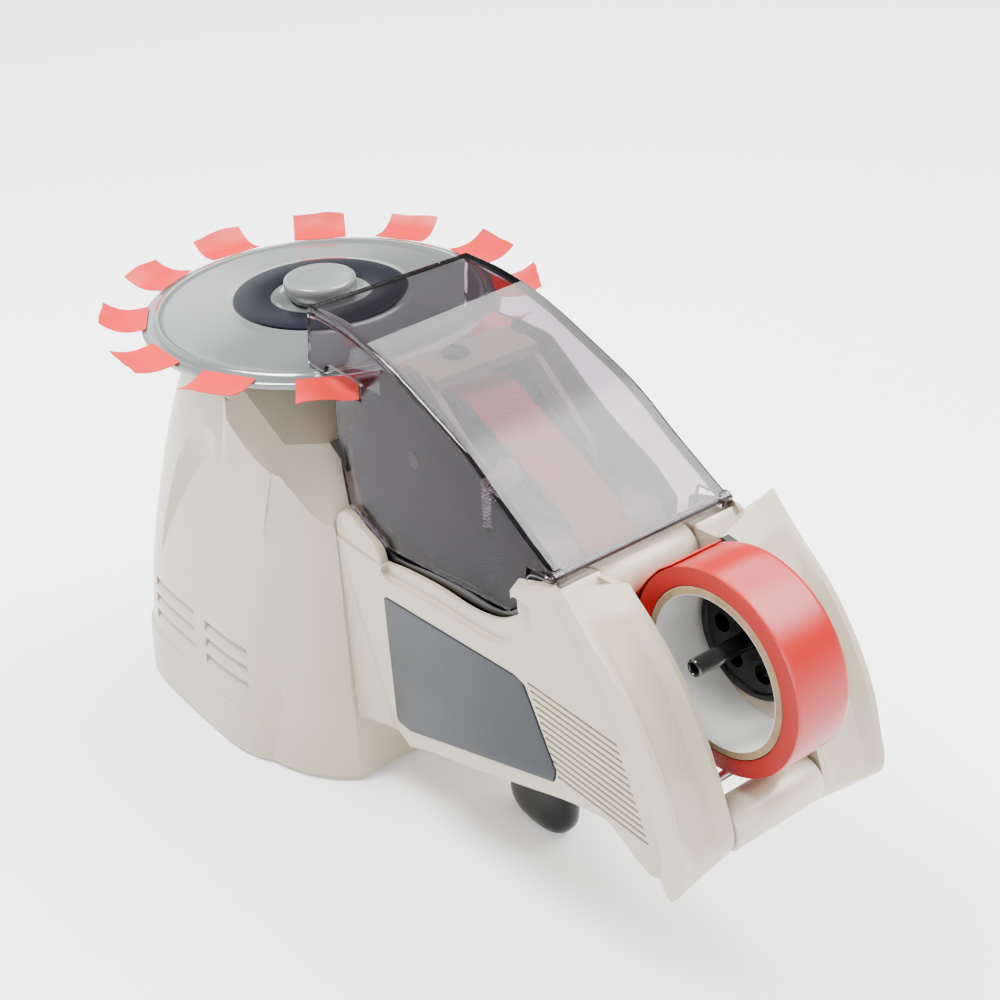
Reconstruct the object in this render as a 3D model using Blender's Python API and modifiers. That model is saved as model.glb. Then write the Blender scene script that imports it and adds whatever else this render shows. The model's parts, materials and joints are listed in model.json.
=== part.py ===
"""Desktop tape dispenser with a turning disc that holds the cut pieces.

Metres, +Z up. +X points from the disc towards the tape roll, and -Y is the side with the label
panel. The origin is on the floor, under the middle of the object's box.
"""

import math

import bmesh
import bpy
from mathutils import Matrix, Vector

# Clearances and wall thicknesses
GAP = 0.0003
RUN_GAP = 0.0004
OVERRUN = 0.004
WALL = 0.0025
THIN_WALL = 0.002
MERGE = 0.00001
EMPTY_SIZE = 0.01

# Carousel disc and the tape pieces stuck round its rim
DISC_RADIUS = 0.0665
DISC_TOP = 0.169
DISC_OVER_BODY = 0.019
DISC_RISE = 0.004
DISC_THICKNESS = 0.0026
DISC_BEAD_HEIGHT = 0.0005
LABEL_RING_RADIUS = 0.0324
LABEL_RING_HOLE = 0.0186
LABEL_RING_THICKNESS = 0.0005
KNOB_RADIUS = 0.0136
KNOB_HEIGHT = 0.0068
SHAFT_RADIUS = 0.004
SHAFT_LENGTH = 0.052
DISC_HUB_RADIUS = 0.014
PIECE_COUNT = 12
PIECE_ANGLE = math.radians(238.2)
PIECE_STICK_OUT = 0.016
PIECE_OVERLAP = 0.0078
PIECE_CURL = 0.0035
FILM = 0.0004

# Tape roll and its spindle
TAPE_WIDTH = 0.0208
ROLL_RADIUS = 0.0338
CORE_RADIUS = 0.0275
CORE_BORE = 0.0249
SPINDLE_RADIUS = 0.0029
SPINDLE_BORE = 0.0019
SPINDLE_REACH = 0.017
SPINDLE_LIFT = 0.0041
SPINDLE_BACK = 0.0015
HUB_WIDTH = 0.0105
HUB_HOLE_RADIUS = 0.0032
HUB_HOLE_COUNT = 6
BRACKET_THICKNESS = 0.003

# Arm between the housing and the roll
ARM_LENGTH = 0.160
ARM_HEIGHT = 0.150
ARM_LIFT = DISC_TOP - DISC_OVER_BODY - ARM_HEIGHT
ARM_HALF_WIDTH = 0.039
RIM_OVERLAP = 0.0089
SHELL_WALL = 0.0045
SCOOP_DEPTH = 0.0025
CHEEK_INNER = 0.019
CHEEK_FLARE = 0.004
CHEEK_SCOOP = 0.0022
CHEEK_WALL = 0.0025
GROOVE_COUNT = 13
GROOVE_HEIGHT = 0.0009
GROOVE_DEPTH = 0.0008
PANEL_THICKNESS = 0.0007
PANEL_RECESS = 0.0006
PANEL_CORNER = 0.0025
EDGE_ROUND = 0.0008
APRON_GAP = 0.0042
PLATE_THICKNESS = 0.002
PLATE_SETBACK = 0.0065
PLATE_INNER = ARM_HALF_WIDTH - SHELL_WALL - PLATE_SETBACK - PLATE_THICKNESS
BLOCK_SETBACK = 0.0021
BLOCK_LENGTH = 0.0275
BLOCK_RISE = 0.0059
BLOCK_NOSE_DROP = 0.0046
BLOCK_DROP = 0.0156
BLOCK_SLANT = 0.008

# Rollers
GUIDE_RADIUS = 0.0085
GUIDE_GAP = 0.0033
LOWER_RADIUS = 0.008
LOWER_GAP = 0.0061
AXLE_RADIUS = 0.0018
AXLE_SEAT = 0.006
ROD_RADIUS = 0.0015
ROD_GAP = 0.0022
DRUM_RADIUS = 0.017
DRUM_HALF_WIDTH = 0.012
DRUM_SETBACK = 0.0110
CHUTE_ROLLER_GAP = 0.0168
CHUTE_SHARE = 0.782
CHUTE_CLEARANCE = 0.0016
DRUM_RIB_COUNT = 3
DRUM_GROOVE = 0.0006
FEED_AXLE_RADIUS = 0.003

# Cutter
BLADE_GAP = 0.0022
BLADE_THICKNESS = 0.0008
BLADE_HEIGHT = 0.0046
HEAD_LENGTH = 0.019
HEAD_HEIGHT = 0.0036
HEAD_SETBACK = 0.0063
HEAD_HALF_WIDTH = PLATE_INNER - HEAD_SETBACK
LEVER_THICKNESS = 0.0025
LEVER_HALF_HEIGHT = 0.0042
PIVOT_RADIUS = 0.0022
PIVOT_FROM_DRUM = 0.012247
PIVOT_BELOW_DRUM = 0.0027
TAIL_REACH = 0.01248
TAIL_RISE = 0.01245
SPRING_FOOT_DROP = 0.00555
POST_RADIUS = 0.0012
SCREW_RADIUS = 0.0047
SCREW_HEIGHT = 0.0028
SCREW_SLOT = 0.0011
SPRING_COIL = 0.0014
SPRING_WIRE = 0.0003
SPRING_TURNS = 11

# Cover
COVER_SETBACK = 0.003
COVER_TAPER = 0.002
COVER_FRONT_HALF_WIDTH = ARM_HALF_WIDTH - COVER_SETBACK
COVER_REAR_HALF_WIDTH = COVER_FRONT_HALF_WIDTH - COVER_TAPER
COVER_WALL = 0.0018
COVER_FOLD = 0.005
HINGE_PIN_RADIUS = 0.0011

# Rear housing
HOUSING_FLOOR = 0.0015
COWL_HEIGHT = DISC_TOP - DISC_OVER_BODY
COWL_HALF_LENGTH = 0.0585
DISC_OVERHANG = 0.0005
COWL_HALF_WIDTH = DISC_RADIUS - DISC_OVERHANG
COWL_SETBACK = 0.0239
COWL_LEAN = 0.018
COWL_LENGTH_TAPER = 0.011
COWL_WIDTH_TAPER = 0.0185
DOME_HEIGHT = 0.008
BOSS_RADIUS = 0.020
BOSS_HEIGHT = 0.0133
NECK_SETBACK = 0.0074
NECK_SHOULDER = 0.004
NECK_HALF_WIDTH = COWL_HALF_WIDTH - NECK_SHOULDER
NECK_TAPER = 0.012
ARCH_DEPTH = 0.0012
LOUVRE_HEIGHT = 0.0031
LOUVRE_PITCH = 0.0083
LOUVRE_TOP = 0.048
BASE_THICKNESS = 0.0025
FOOT_LENGTH = 0.070
FOOT_WIDTH = 0.010
LEG_TOP_LENGTH = 0.030
LEG_BOTTOM_LENGTH = 0.022
LEG_WIDTH = 0.012
PAD_HEIGHT = 0.0025
BEARING_RADIUS = 0.009
BEARING_LENGTH = 0.010
MOTOR_RADIUS = 0.018
MOTOR_LENGTH = 0.045
BOARD_THICKNESS = 0.0016
BOARD_LENGTH = 0.060
BOARD_WIDTH = 0.050
INLET_RADIUS = 0.006
INLET_LENGTH = 0.012
INLET_BORE = 0.0028
SWITCH_WIDTH = 0.021
SWITCH_HEIGHT = 0.015
SWITCH_DEPTH = 0.011
SWITCH_WALL = 0.0018
SWITCH_Z = 0.046
ROCKER_DEPTH = 0.005
INLET_Z = 0.020

ROUND = 36
SMALL_ROUND = 20

# Outlines of the arm, as shares of its length from the housing and of its height
WALL_SHARES = [
    (0.003, 0.740), (0.166, 0.739), (0.231, 0.753), (0.358, 0.770), (0.494, 0.777), (0.561, 0.795),
    (0.611, 0.827), (0.661, 0.878), (0.670, 0.908), (0.669, 0.967), (0.750, 0.970), (0.757, 0.922),
    (0.800, 0.891), (0.863, 0.836), (0.903, 0.792), (0.966, 0.706), (1.013, 0.627), (1.040, 0.553),
    (1.056, 0.450), (1.045, 0.440), (1.030, 0.433), (0.993, 0.440), (0.938, 0.471), (0.900, 0.487),
    (0.851, 0.479), (0.629, 0.404), (0.454, 0.338), (0.304, 0.288), (0.225, 0.253), (0.163, 0.287),
]
SCOOP_SHARES = [
    (0.172, 0.728), (0.192, 0.711), (0.353, 0.729), (0.491, 0.737), (0.589, 0.753), (0.656, 0.802),
    (0.693, 0.859), (0.690, 0.900), (0.640, 0.900), (0.590, 0.850), (0.545, 0.810), (0.358, 0.800),
    (0.200, 0.780),
]
CREASE_SHARES = [
    (0.741, 0.927), (0.806, 0.878), (0.884, 0.803), (0.957, 0.706), (1.004, 0.627), (1.031, 0.553),
    (1.047, 0.480), (1.048, 0.433),
]
PROUD_SHARES = [
    (0.817, 1.020), (0.887, 0.949), (0.972, 0.872), (1.044, 0.777), (1.090, 0.689), (1.121, 0.587),
    (1.134, 0.482), (1.105, 0.440),
]
INNER_SHARES = [
    (0.829, 0.972), (0.900, 0.913), (0.975, 0.833), (1.029, 0.745), (1.062, 0.673), (1.097, 0.583),
    (1.116, 0.507), (1.097, 0.460),
]
BLOCK_SHARES = [(0.672, 0.860), (0.670, 0.966), (0.760, 0.966), (0.790, 0.900), (0.760, 0.860)]
PANEL_SHARES = [
    (0.178, 0.661), (0.627, 0.699), (0.661, 0.691), (0.750, 0.521), (0.744, 0.488), (0.234, 0.307),
    (0.184, 0.309),
]
COVER_SHARES = [
    (-0.062, 1.290), (0.062, 1.287), (0.206, 1.260), (0.338, 1.213), (0.487, 1.150), (0.600, 1.077),
    (0.706, 1.013), (0.744, 0.991), (0.725, 0.976), (0.661, 0.974), (0.654, 0.905), (0.637, 0.873),
    (0.597, 0.832), (0.431, 0.809), (0.161, 0.770),
    (0.022, 0.820), (0.010, 0.907), (0.009, 1.122), (0.121, 1.122), (0.121, 1.168), (-0.006, 1.168),
    (-0.025, 1.141), (-0.085, 1.141),
]
COVER_TOP_COUNT = 8
PLATE_SHARES = [
    (0.146, 1.201), (0.136, 1.170), (0.136, 1.121), (0.068, 1.121), (0.044, 1.050), (-0.003, 1.005),
    (0.004, 0.887), (0.025, 0.787), (0.281, 0.787), (0.281, 0.347), (0.650, 0.467), (0.650, 0.953),
    (0.588, 1.007), (0.475, 1.060), (0.375, 1.120), (0.263, 1.200),
]
TRAY_SHARES = [(0.244, 0.291), (0.454, 0.363), (0.629, 0.430), (0.759, 0.475), (0.875, 0.507)]
CHIN_SHARES = [
    (-0.094, 0.187), (0.000, 0.187), (0.200, 0.243), (0.252, 0.268), (0.012, 0.750), (-0.094, 0.750),
]
NECK_TOP_SHARES = [(-0.003, 0.747), (-0.037, 0.833), (-0.156, 0.960), (-0.250, 0.985), (-0.420, 0.985)]
REST_SHARES = [(0.125, 0.730), (0.125, 0.762), (0.345, 0.788), (0.345, 0.748)]
ANVIL_SHARE = (0.063, 1.112)
HINGE_SHARE = (0.738, 0.981)
FIRST_GROOVE_SHARE = (0.672, 0.703)
LAST_GROOVE_SHARE = (0.754, 0.510)
GROOVE_END_SHARES = (0.934, 1.018)
LEG_SHARE = 0.36
# Outlines on the housing's side, as shares of the cowl's half length from its middle and of its height
ARCH_SHARES = [
    (-0.42, 0.38), (-0.20, 0.66), (-0.02, 0.82), (0.12, 0.885), (0.24, 0.885), (0.36, 0.80),
    (0.50, 0.66), (0.60, 0.55), (0.72, 0.38),
]
LOUVRE_GROUP_SHARES = [(-0.50, 0.02), (0.16, 0.76)]

# Places that follow from the sizes above
half_tape = TAPE_WIDTH / 2
piece_tip = DISC_RADIUS + PIECE_STICK_OUT
piece_corner = math.hypot(piece_tip, half_tape)
overall_length = piece_tip + DISC_RADIUS - RIM_OVERLAP + ARM_LENGTH + ROLL_RADIUS
disc_x = piece_tip - overall_length / 2
arm_x = disc_x + DISC_RADIUS - RIM_OVERLAP
roll_x = arm_x + ARM_LENGTH
cowl_x = disc_x - COWL_SETBACK


def arm_point(share):
    """The place in the side view of a pair of shares of the arm."""
    return arm_x + share[0] * ARM_LENGTH, ARM_LIFT + share[1] * ARM_HEIGHT


def arm_outline(shares):
    return [arm_point(share) for share in shares]


roll_z = arm_point((1, 0.823))[1]
blade_x = disc_x + piece_corner + BLADE_GAP
drum_x = blade_x + DRUM_SETBACK
drum_z = DISC_TOP + FILM + GAP - DRUM_RADIUS
GUIDE_DIRECTION = math.radians(164.6)
LOWER_DIRECTION = math.radians(-75.5)
CHUTE_ROLLER_DIRECTION = math.radians(155.8)
ROD_DIRECTION = math.radians(-86)


def round_point(middle, distance, angle):
    """The place in the side view at a distance and an angle from another place."""
    return middle[0] + distance * math.cos(angle), middle[1] + distance * math.sin(angle)


def round_roll(distance, angle):
    """The place in the side view at a distance and an angle from the roll's axis."""
    return round_point((roll_x, roll_z), distance, angle)


guide_point = round_roll(ROLL_RADIUS + GUIDE_GAP + GUIDE_RADIUS, GUIDE_DIRECTION)
lower_point = round_roll(ROLL_RADIUS + LOWER_GAP + LOWER_RADIUS, LOWER_DIRECTION)
rod_point = round_roll(ROLL_RADIUS + ROD_GAP + ROD_RADIUS, ROD_DIRECTION)
chute_low = round_point(guide_point, GUIDE_RADIUS + CHUTE_ROLLER_GAP, CHUTE_ROLLER_DIRECTION)
chute_lip = (chute_low[0], chute_low[1] + CHUTE_CLEARANCE)
lip_to_drum = math.hypot(drum_x - chute_lip[0], drum_z - chute_lip[1])
run_reach = DRUM_RADIUS + FILM / 2 + GAP
run_angle = math.atan2(drum_z - chute_lip[1], drum_x - chute_lip[0]) - math.asin(run_reach / lip_to_drum)
run_length = math.sqrt(lip_to_drum**2 - run_reach**2)
chute_high = round_point(chute_low, run_length * CHUTE_SHARE, run_angle)
spindle_point = (roll_x - SPINDLE_BACK, roll_z + SPINDLE_LIFT)
hub_radius = CORE_BORE - math.hypot(SPINDLE_BACK, SPINDLE_LIFT) - GAP
head_bottom = DISC_TOP + FILM + PIECE_CURL + 4 * RUN_GAP + HEAD_HEIGHT / 2
pivot_point = (drum_x + DRUM_RADIUS + PIVOT_FROM_DRUM, drum_z - PIVOT_BELOW_DRUM)
tail_point = (pivot_point[0] + TAIL_REACH, pivot_point[1] + TAIL_RISE)
spring_foot_point = (tail_point[0], pivot_point[1] - SPRING_FOOT_DROP)
hinge_point = arm_point(HINGE_SHARE)


def clear_scene():
    for old in list(bpy.data.objects):
        bpy.data.objects.remove(old, do_unlink=True)


def new_collection(name):
    made = bpy.data.collections.new(name)
    bpy.context.scene.collection.children.link(made)
    return made


clear_scene()
parts = new_collection("tape_dispenser")
cutters = new_collection("cutters")


def material(name, color, roughness, metallic=0.0, alpha=1.0):
    made = bpy.data.materials.new(name)
    made.use_nodes = True
    shader = made.node_tree.nodes["Principled BSDF"]
    shader.inputs["Base Color"].default_value = (*color, 1.0)
    shader.inputs["Roughness"].default_value = roughness
    shader.inputs["Metallic"].default_value = metallic
    shader.inputs["Alpha"].default_value = alpha
    made.diffuse_color = (*color, alpha)
    return made


beige = material("beige_plastic", (0.72, 0.68, 0.58), 0.4)
disc_grey = material("disc_grey", (0.38, 0.41, 0.40), 0.35)
ring_navy = material("ring_navy", (0.012, 0.014, 0.03), 0.4)
slate = material("slate_label", (0.055, 0.075, 0.095), 0.45)
tape_red = material("tape_red", (0.80, 0.045, 0.045), 0.3)
paper_brown = material("paper_core", (0.42, 0.29, 0.17), 0.9)
black = material("black_plastic", (0.012, 0.012, 0.013), 0.4)
rubber = material("black_rubber", (0.015, 0.015, 0.015), 0.8)
smoke = material("smoked_cover", (0.20, 0.17, 0.20), 0.1, alpha=0.4)
steel = material("steel", (0.55, 0.55, 0.56), 0.3, 1.0)
dark_metal = material("dark_metal", (0.05, 0.05, 0.055), 0.45, 0.6)
board_green = material("board_green", (0.02, 0.16, 0.07), 0.6)
tan = material("tan_plastic", (0.50, 0.43, 0.33), 0.5)


def finish(obj, look=None, smooth_angle=math.radians(35)):
    """Puts an object in the part's collection with its material and its shading."""
    if look is not None:
        obj.data.materials.clear()
        obj.data.materials.append(look)
    if obj.type == "MESH":
        obj.data.shade_smooth()
        obj.data.set_sharp_from_angle(angle=smooth_angle)
    return obj


def mesh_object(name, shape, collection=None):
    """An object from a bmesh, which is freed."""
    mesh = bpy.data.meshes.new(name)
    shape.to_mesh(mesh)
    shape.free()
    made = bpy.data.objects.new(name, mesh)
    (collection or parts).objects.link(made)
    return made


def tool(obj):
    """Makes an object a helper that is neither rendered nor built."""
    for owner in list(obj.users_collection):
        owner.objects.unlink(obj)
    cutters.objects.link(obj)
    obj.hide_render = True
    obj.display_type = "WIRE"
    return obj


def combine(target, helper, operation="DIFFERENCE"):
    step = target.modifiers.new(helper.name, "BOOLEAN")
    step.operation = operation
    step.solver = "EXACT"
    step.object = tool(helper)
    return target


def bevel(obj, width, segments=2):
    step = obj.modifiers.new("rounded_edges", "BEVEL")
    step.width = width
    step.segments = segments
    step.limit_method = "ANGLE"
    step.angle_limit = math.radians(40)
    return obj


def box(name, low, high):
    """A box between two corners."""
    shape = bmesh.new()
    size = [b - a for a, b in zip(low, high)]
    middle = [(a + b) / 2 for a, b in zip(low, high)]
    bmesh.ops.create_cube(shape, size=1, matrix=Matrix.Translation(middle) @ Matrix.Diagonal((*size, 1)))
    return mesh_object(name, shape)


def flat_plate(name, loops, y_low, y_high):
    """A plate that stands in the side view, from outlines of (x, z) points, between two values of y."""
    curve = bpy.data.curves.new(name, "CURVE")
    curve.dimensions = "2D"
    curve.fill_mode = "BOTH"
    curve.extrude = (y_high - y_low) / 2
    for loop in loops:
        spline = curve.splines.new("POLY")
        spline.points.add(len(loop) - 1)
        for point, (x, z) in zip(spline.points, loop):
            point.co = (x, z, 0, 1)
        spline.use_cyclic_u = True
    guide = bpy.data.objects.new(name + "_outline", curve)
    parts.objects.link(guide)
    bpy.context.view_layer.update()
    graph = bpy.context.evaluated_depsgraph_get()
    mesh = bpy.data.meshes.new_from_object(guide.evaluated_get(graph))
    bpy.data.objects.remove(guide, do_unlink=True)
    shape = bmesh.new()
    shape.from_mesh(mesh)
    bpy.data.meshes.remove(mesh)
    bmesh.ops.remove_doubles(shape, verts=shape.verts, dist=MERGE)
    upright = Matrix.Translation((0, (y_low + y_high) / 2, 0)) @ Matrix.Rotation(math.pi / 2, 4, "X")
    bmesh.ops.transform(shape, matrix=upright, verts=shape.verts)
    bmesh.ops.dissolve_limit(shape, angle_limit=0.001, verts=shape.verts, edges=shape.edges)
    bmesh.ops.recalc_face_normals(shape, faces=shape.faces)
    return mesh_object(name, shape)


def turned(name, profile, place=(0, 0, 0), along_y=False, closed=False, steps=ROUND):
    """A body turned from (radius, height) points, listed down its outer side."""
    shape = bmesh.new()
    verts = [shape.verts.new((radius, 0, height)) for radius, height in profile]
    for first, second in zip(verts, verts[1:]):
        shape.edges.new((first, second))
    if closed:
        shape.edges.new((verts[-1], verts[0]))
    made = mesh_object(name, shape)
    made.location = place
    if along_y:
        made.rotation_euler.x = -math.pi / 2
    step = made.modifiers.new("turned", "SCREW")
    step.axis = "Z"
    step.steps = steps
    step.render_steps = steps
    step.use_merge_vertices = True
    step.merge_threshold = MERGE
    return made


def rod(name, radius, place, low, high, along_y=True, steps=SMALL_ROUND):
    """A solid cylinder between two values along its axis."""
    profile = [(0, high), (radius, high), (radius, low), (0, low)]
    return turned(name, profile, place, along_y, steps=steps)


def tube(name, outer, inner, place, low, high, along_y=True, steps=ROUND):
    profile = [(inner, high), (outer, high), (outer, low), (inner, low)]
    return turned(name, profile, place, along_y, closed=True, steps=steps)


def loft(name, rings):
    """A closed body through rings of the same number of points, each ring round a vertical line."""
    shape = bmesh.new()
    layers = [[shape.verts.new(point) for point in ring] for ring in rings]
    for lower, upper in zip(layers, layers[1:]):
        for index in range(len(lower)):
            after = (index + 1) % len(lower)
            shape.faces.new((lower[index], lower[after], upper[after], upper[index]))
    shape.faces.new(layers[0])
    shape.faces.new(layers[-1])
    bmesh.ops.triangulate(shape, faces=shape.faces)
    bmesh.ops.recalc_face_normals(shape, faces=shape.faces)
    return mesh_object(name, shape)


def copy_mirrored(obj, name):
    """The same body on the other side of the part's middle plane."""
    bpy.context.view_layer.update()
    graph = bpy.context.evaluated_depsgraph_get()
    mesh = bpy.data.meshes.new_from_object(obj.evaluated_get(graph))
    mesh.name = name
    mesh.transform(Matrix.Scale(-1, 4, Vector((0, 1, 0))) @ obj.matrix_world)
    mesh.flip_normals()
    made = bpy.data.objects.new(name, mesh)
    parts.objects.link(made)
    return made


def axis_empty(name, place):
    """An empty on a joint's axis, which carries the pieces that move."""
    made = bpy.data.objects.new(name, None)
    made.location = place
    made.empty_display_size = EMPTY_SIZE
    parts.objects.link(made)
    return made


def carry(empty, *pieces):
    for piece in pieces:
        piece.parent = empty
        piece.matrix_parent_inverse = Matrix.Translation(-empty.location)


# Rear housing


def super_ring(middle, half_length, half_width, power, z, count=ROUND):
    """A ring between an ellipse and a rectangle: the higher the power, the squarer it is."""
    ring = []
    for index in range(count):
        angle = 2 * math.pi * (index + 0.5) / count
        reach_x = abs(math.cos(angle)) / half_length
        reach_y = abs(math.sin(angle)) / half_width
        radius = (reach_x**power + reach_y**power) ** (-1 / power)
        ring.append((middle + radius * math.cos(angle), radius * math.sin(angle), z))
    return ring


DOME_SHARES = [(0.5, 0.93), (0.85, 0.72), (1.0, 0.48)]
COWL_LEVEL_SHARES = (0.13, 0.3, 0.5, 0.67, 0.83, 0.94, 1.0)
NECK_LEVEL_SHARES = (0.25, 0.5, 0.75, 0.98)


def cowl_ring(z, inset, size=1.0):
    """The cowl's section at a height. It leans forward and gets smaller and rounder towards the top."""
    share = max(0.0, min(1.0, z / COWL_HEIGHT))
    middle = cowl_x + COWL_LEAN * share**2
    half_length = (COWL_HALF_LENGTH - COWL_LENGTH_TAPER * share**2.2) * size - inset
    half_width = (COWL_HALF_WIDTH - COWL_WIDTH_TAPER * share**1.5) * size - inset
    return super_ring(middle, half_length, half_width, 3.6 - 1.2 * share, z)


def arch_inset(z):
    """How deep the arch is pressed in at a height: nothing at its foot, all of it above."""
    share = max(0.0, min(1.0, (z / COWL_HEIGHT - ARCH_SHARES[0][1]) * 3))
    return ARCH_DEPTH * share


def cowl(name, bottom, inset=0.0, pressed=False):
    rings = [cowl_ring(bottom, inset - (GAP if pressed else 0))]
    for share in COWL_LEVEL_SHARES:
        z = share * COWL_HEIGHT - (inset if share == 1 else 0)
        rings.append(cowl_ring(z, inset + (arch_inset(z) - GAP if pressed else 0)))
    for rise, size in DOME_SHARES:
        z = COWL_HEIGHT + rise * DOME_HEIGHT - inset
        rings.append(cowl_ring(z, inset, size))
    return loft(name, rings)


def neck(name, bottom, inset=0.0):
    """The body that runs forward from the cowl and carries the arm, cut to its side outline."""
    middle = disc_x - NECK_SETBACK
    half_length = (arm_x - middle) * 1.125 - inset
    rings = []
    for share in (bottom / COWL_HEIGHT, *NECK_LEVEL_SHARES):
        half_width = NECK_HALF_WIDTH - NECK_TAPER * share - inset
        rings.append(super_ring(middle, half_length, half_width, 2.7 + 0.8 * share, share * COWL_HEIGHT))
    made = loft(name, rings)
    top = [(x - inset, z - inset) for x, z in arm_outline(NECK_TOP_SHARES)]
    outline = [(top[-1][0], bottom - OVERRUN), (top[0][0], bottom - OVERRUN), *top]
    side = flat_plate(name + "_side", [outline], -COWL_HALF_WIDTH, COWL_HALF_WIDTH)
    return combine(made, side, "INTERSECT")


def chin(name, inset=0.0):
    """The bracket under the arm's rear end, between the side shells."""
    (a, b, c, d, e, f) = arm_outline(CHIN_SHARES)
    a = (a[0], CHIN_SHARES[0][1] * COWL_HEIGHT)
    b = (b[0], CHIN_SHARES[1][1] * COWL_HEIGHT)
    half = ARM_HALF_WIDTH - SHELL_WALL - GAP - inset
    outline = [
        (a[0] - inset, a[1] + inset), (b[0] - inset, b[1] + inset), (c[0] - inset, c[1] + inset),
        (d[0] - inset * 2, d[1] + inset), (e[0] - inset, e[1] - inset), (f[0] - inset, f[1] - inset),
    ]
    return flat_plate(name, [outline], -half, half)


def side_point(share):
    return cowl_x + share[0] * COWL_HALF_LENGTH, share[1] * COWL_HEIGHT


def rear_housing():
    body = cowl("rear_housing", HOUSING_FLOOR)
    combine(body, neck("neck_outside", HOUSING_FLOOR + GAP), "UNION")
    combine(body, chin("chin_outside"), "UNION")
    boss = rod("boss", BOSS_RADIUS, (disc_x, 0, COWL_HEIGHT - WALL), 0, BOSS_HEIGHT + WALL, False, ROUND)
    combine(body, boss, "UNION")
    combine(body, cowl("cowl_inside", -OVERRUN, WALL))
    combine(body, neck("neck_inside", -OVERRUN, WALL))
    combine(body, chin("chin_inside", WALL))
    bore = rod("bearing_bore", BEARING_RADIUS + GAP, (disc_x, 0, COWL_HEIGHT), -DOME_HEIGHT,
               BOSS_HEIGHT + OVERRUN, False, 24)
    combine(body, bore)
    for side in (-1, 1):
        near, far = sorted((side * COWL_HALF_WIDTH / 2, side * COWL_HALF_WIDTH * 1.2))
        arch = flat_plate("arch", [[side_point(share) for share in ARCH_SHARES]], near, far)
        combine(arch, cowl("arch_floor", -OVERRUN, 0.0, True))
        combine(body, arch)
        for rear, front in LOUVRE_GROUP_SHARES:
            for row in range(3):
                top = LOUVRE_TOP - row * LOUVRE_PITCH
                low = (side_point((rear, 0))[0], near, top - LOUVRE_HEIGHT)
                high = (side_point((front, 0))[0], far, top)
                combine(body, box("louvre", low, high))
    rear = cowl_x - COWL_HALF_LENGTH
    half = SWITCH_WIDTH / 2 + GAP
    window = box(
        "switch_window",
        (rear - OVERRUN, -half, SWITCH_Z - SWITCH_HEIGHT / 2 - GAP),
        (rear + SWITCH_DEPTH, half, SWITCH_Z + SWITCH_HEIGHT / 2 + GAP),
    )
    combine(body, window)
    combine(body, inlet_rod("inlet_hole", INLET_RADIUS + GAP, -OVERRUN, INLET_LENGTH))
    return finish(body, beige)


def inlet_rod(name, radius, low, high, inner=None):
    """A round body along the axis of the power inlet, in the housing's rear wall."""
    rear = cowl_x - COWL_HALF_LENGTH
    profile = [(0, high), (radius, high), (radius, low), (0, low)]
    if inner is not None:
        floor = low + (high - low) * 0.8
        profile = [(0, high), (radius, high), (radius, low), (inner, low), (inner, floor), (0, floor)]
    made = turned(name, profile, (rear, 0, INLET_Z), steps=SMALL_ROUND)
    made.rotation_euler.y = math.pi / 2
    return made


def base_plate():
    inset = WALL + GAP
    low = HOUSING_FLOOR
    body = loft("base_plate", [cowl_ring(low, inset), cowl_ring(low + BASE_THICKNESS, inset)])
    combine(body, neck("base_neck", low - OVERRUN, inset), "UNION")
    slab = box(
        "base_slab",
        (-overall_length, -COWL_HALF_WIDTH, low),
        (overall_length, COWL_HALF_WIDTH, low + BASE_THICKNESS),
    )
    combine(body, slab, "INTERSECT")
    for side in (-1, 1):
        combine(body, foot_strip("foot_slot", side, GAP, low + BASE_THICKNESS / 2))
    return finish(body, black)


def foot_strip(name, side, extra, top):
    middle = disc_x - NECK_SETBACK
    y = side * COWL_HALF_WIDTH * 0.62
    low = (middle - FOOT_LENGTH / 2 - extra, y - FOOT_WIDTH / 2 - extra, -extra)
    high = (middle + FOOT_LENGTH / 2 + extra, y + FOOT_WIDTH / 2 + extra, top)
    return box(name, low, high)


def feet():
    for name, side in (("foot_left", -1), ("foot_right", 1)):
        top = HOUSING_FLOOR + BASE_THICKNESS / 2 - GAP
        finish(bevel(foot_strip(name, side, 0, top), EDGE_ROUND / 2), rubber)


def tray_top(x):
    """The height of the tray's upper face at a place along the arm."""
    points = arm_outline(TRAY_SHARES)
    for (x0, z0), (x1, z1) in zip(points, points[1:]):
        if x <= x1:
            return z0 + (z1 - z0) * (x - x0) / (x1 - x0) + WALL
    return points[-1][1] + WALL


def front_support():
    """The tapered leg under the arm and the pad that it stands on."""
    x = arm_point((LEG_SHARE, 0))[0]
    low = tray_top(x - LEG_TOP_LENGTH / 2) - WALL - GAP
    slope = (tray_top(x + LEG_TOP_LENGTH / 2) - tray_top(x - LEG_TOP_LENGTH / 2)) / LEG_TOP_LENGTH
    half_top = LEG_TOP_LENGTH / 2
    half_bottom = LEG_BOTTOM_LENGTH / 2
    foot_x = x + LEG_TOP_LENGTH * 0.06
    outline = [
        (x - half_top, low),
        (x + half_top, low + slope * LEG_TOP_LENGTH),
        (foot_x + half_bottom, PAD_HEIGHT + GAP),
        (foot_x - half_bottom, PAD_HEIGHT + GAP),
    ]
    leg = bevel(flat_plate("front_leg", [outline], -LEG_WIDTH / 2, LEG_WIDTH / 2), EDGE_ROUND * 2)
    finish(leg, black)
    pad = box(
        "front_foot",
        (foot_x - half_bottom * 0.9, -LEG_WIDTH * 0.45, 0),
        (foot_x + half_bottom * 0.9, LEG_WIDTH * 0.45, PAD_HEIGHT),
    )
    finish(bevel(pad, EDGE_ROUND / 2), rubber)


# Arm


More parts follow.
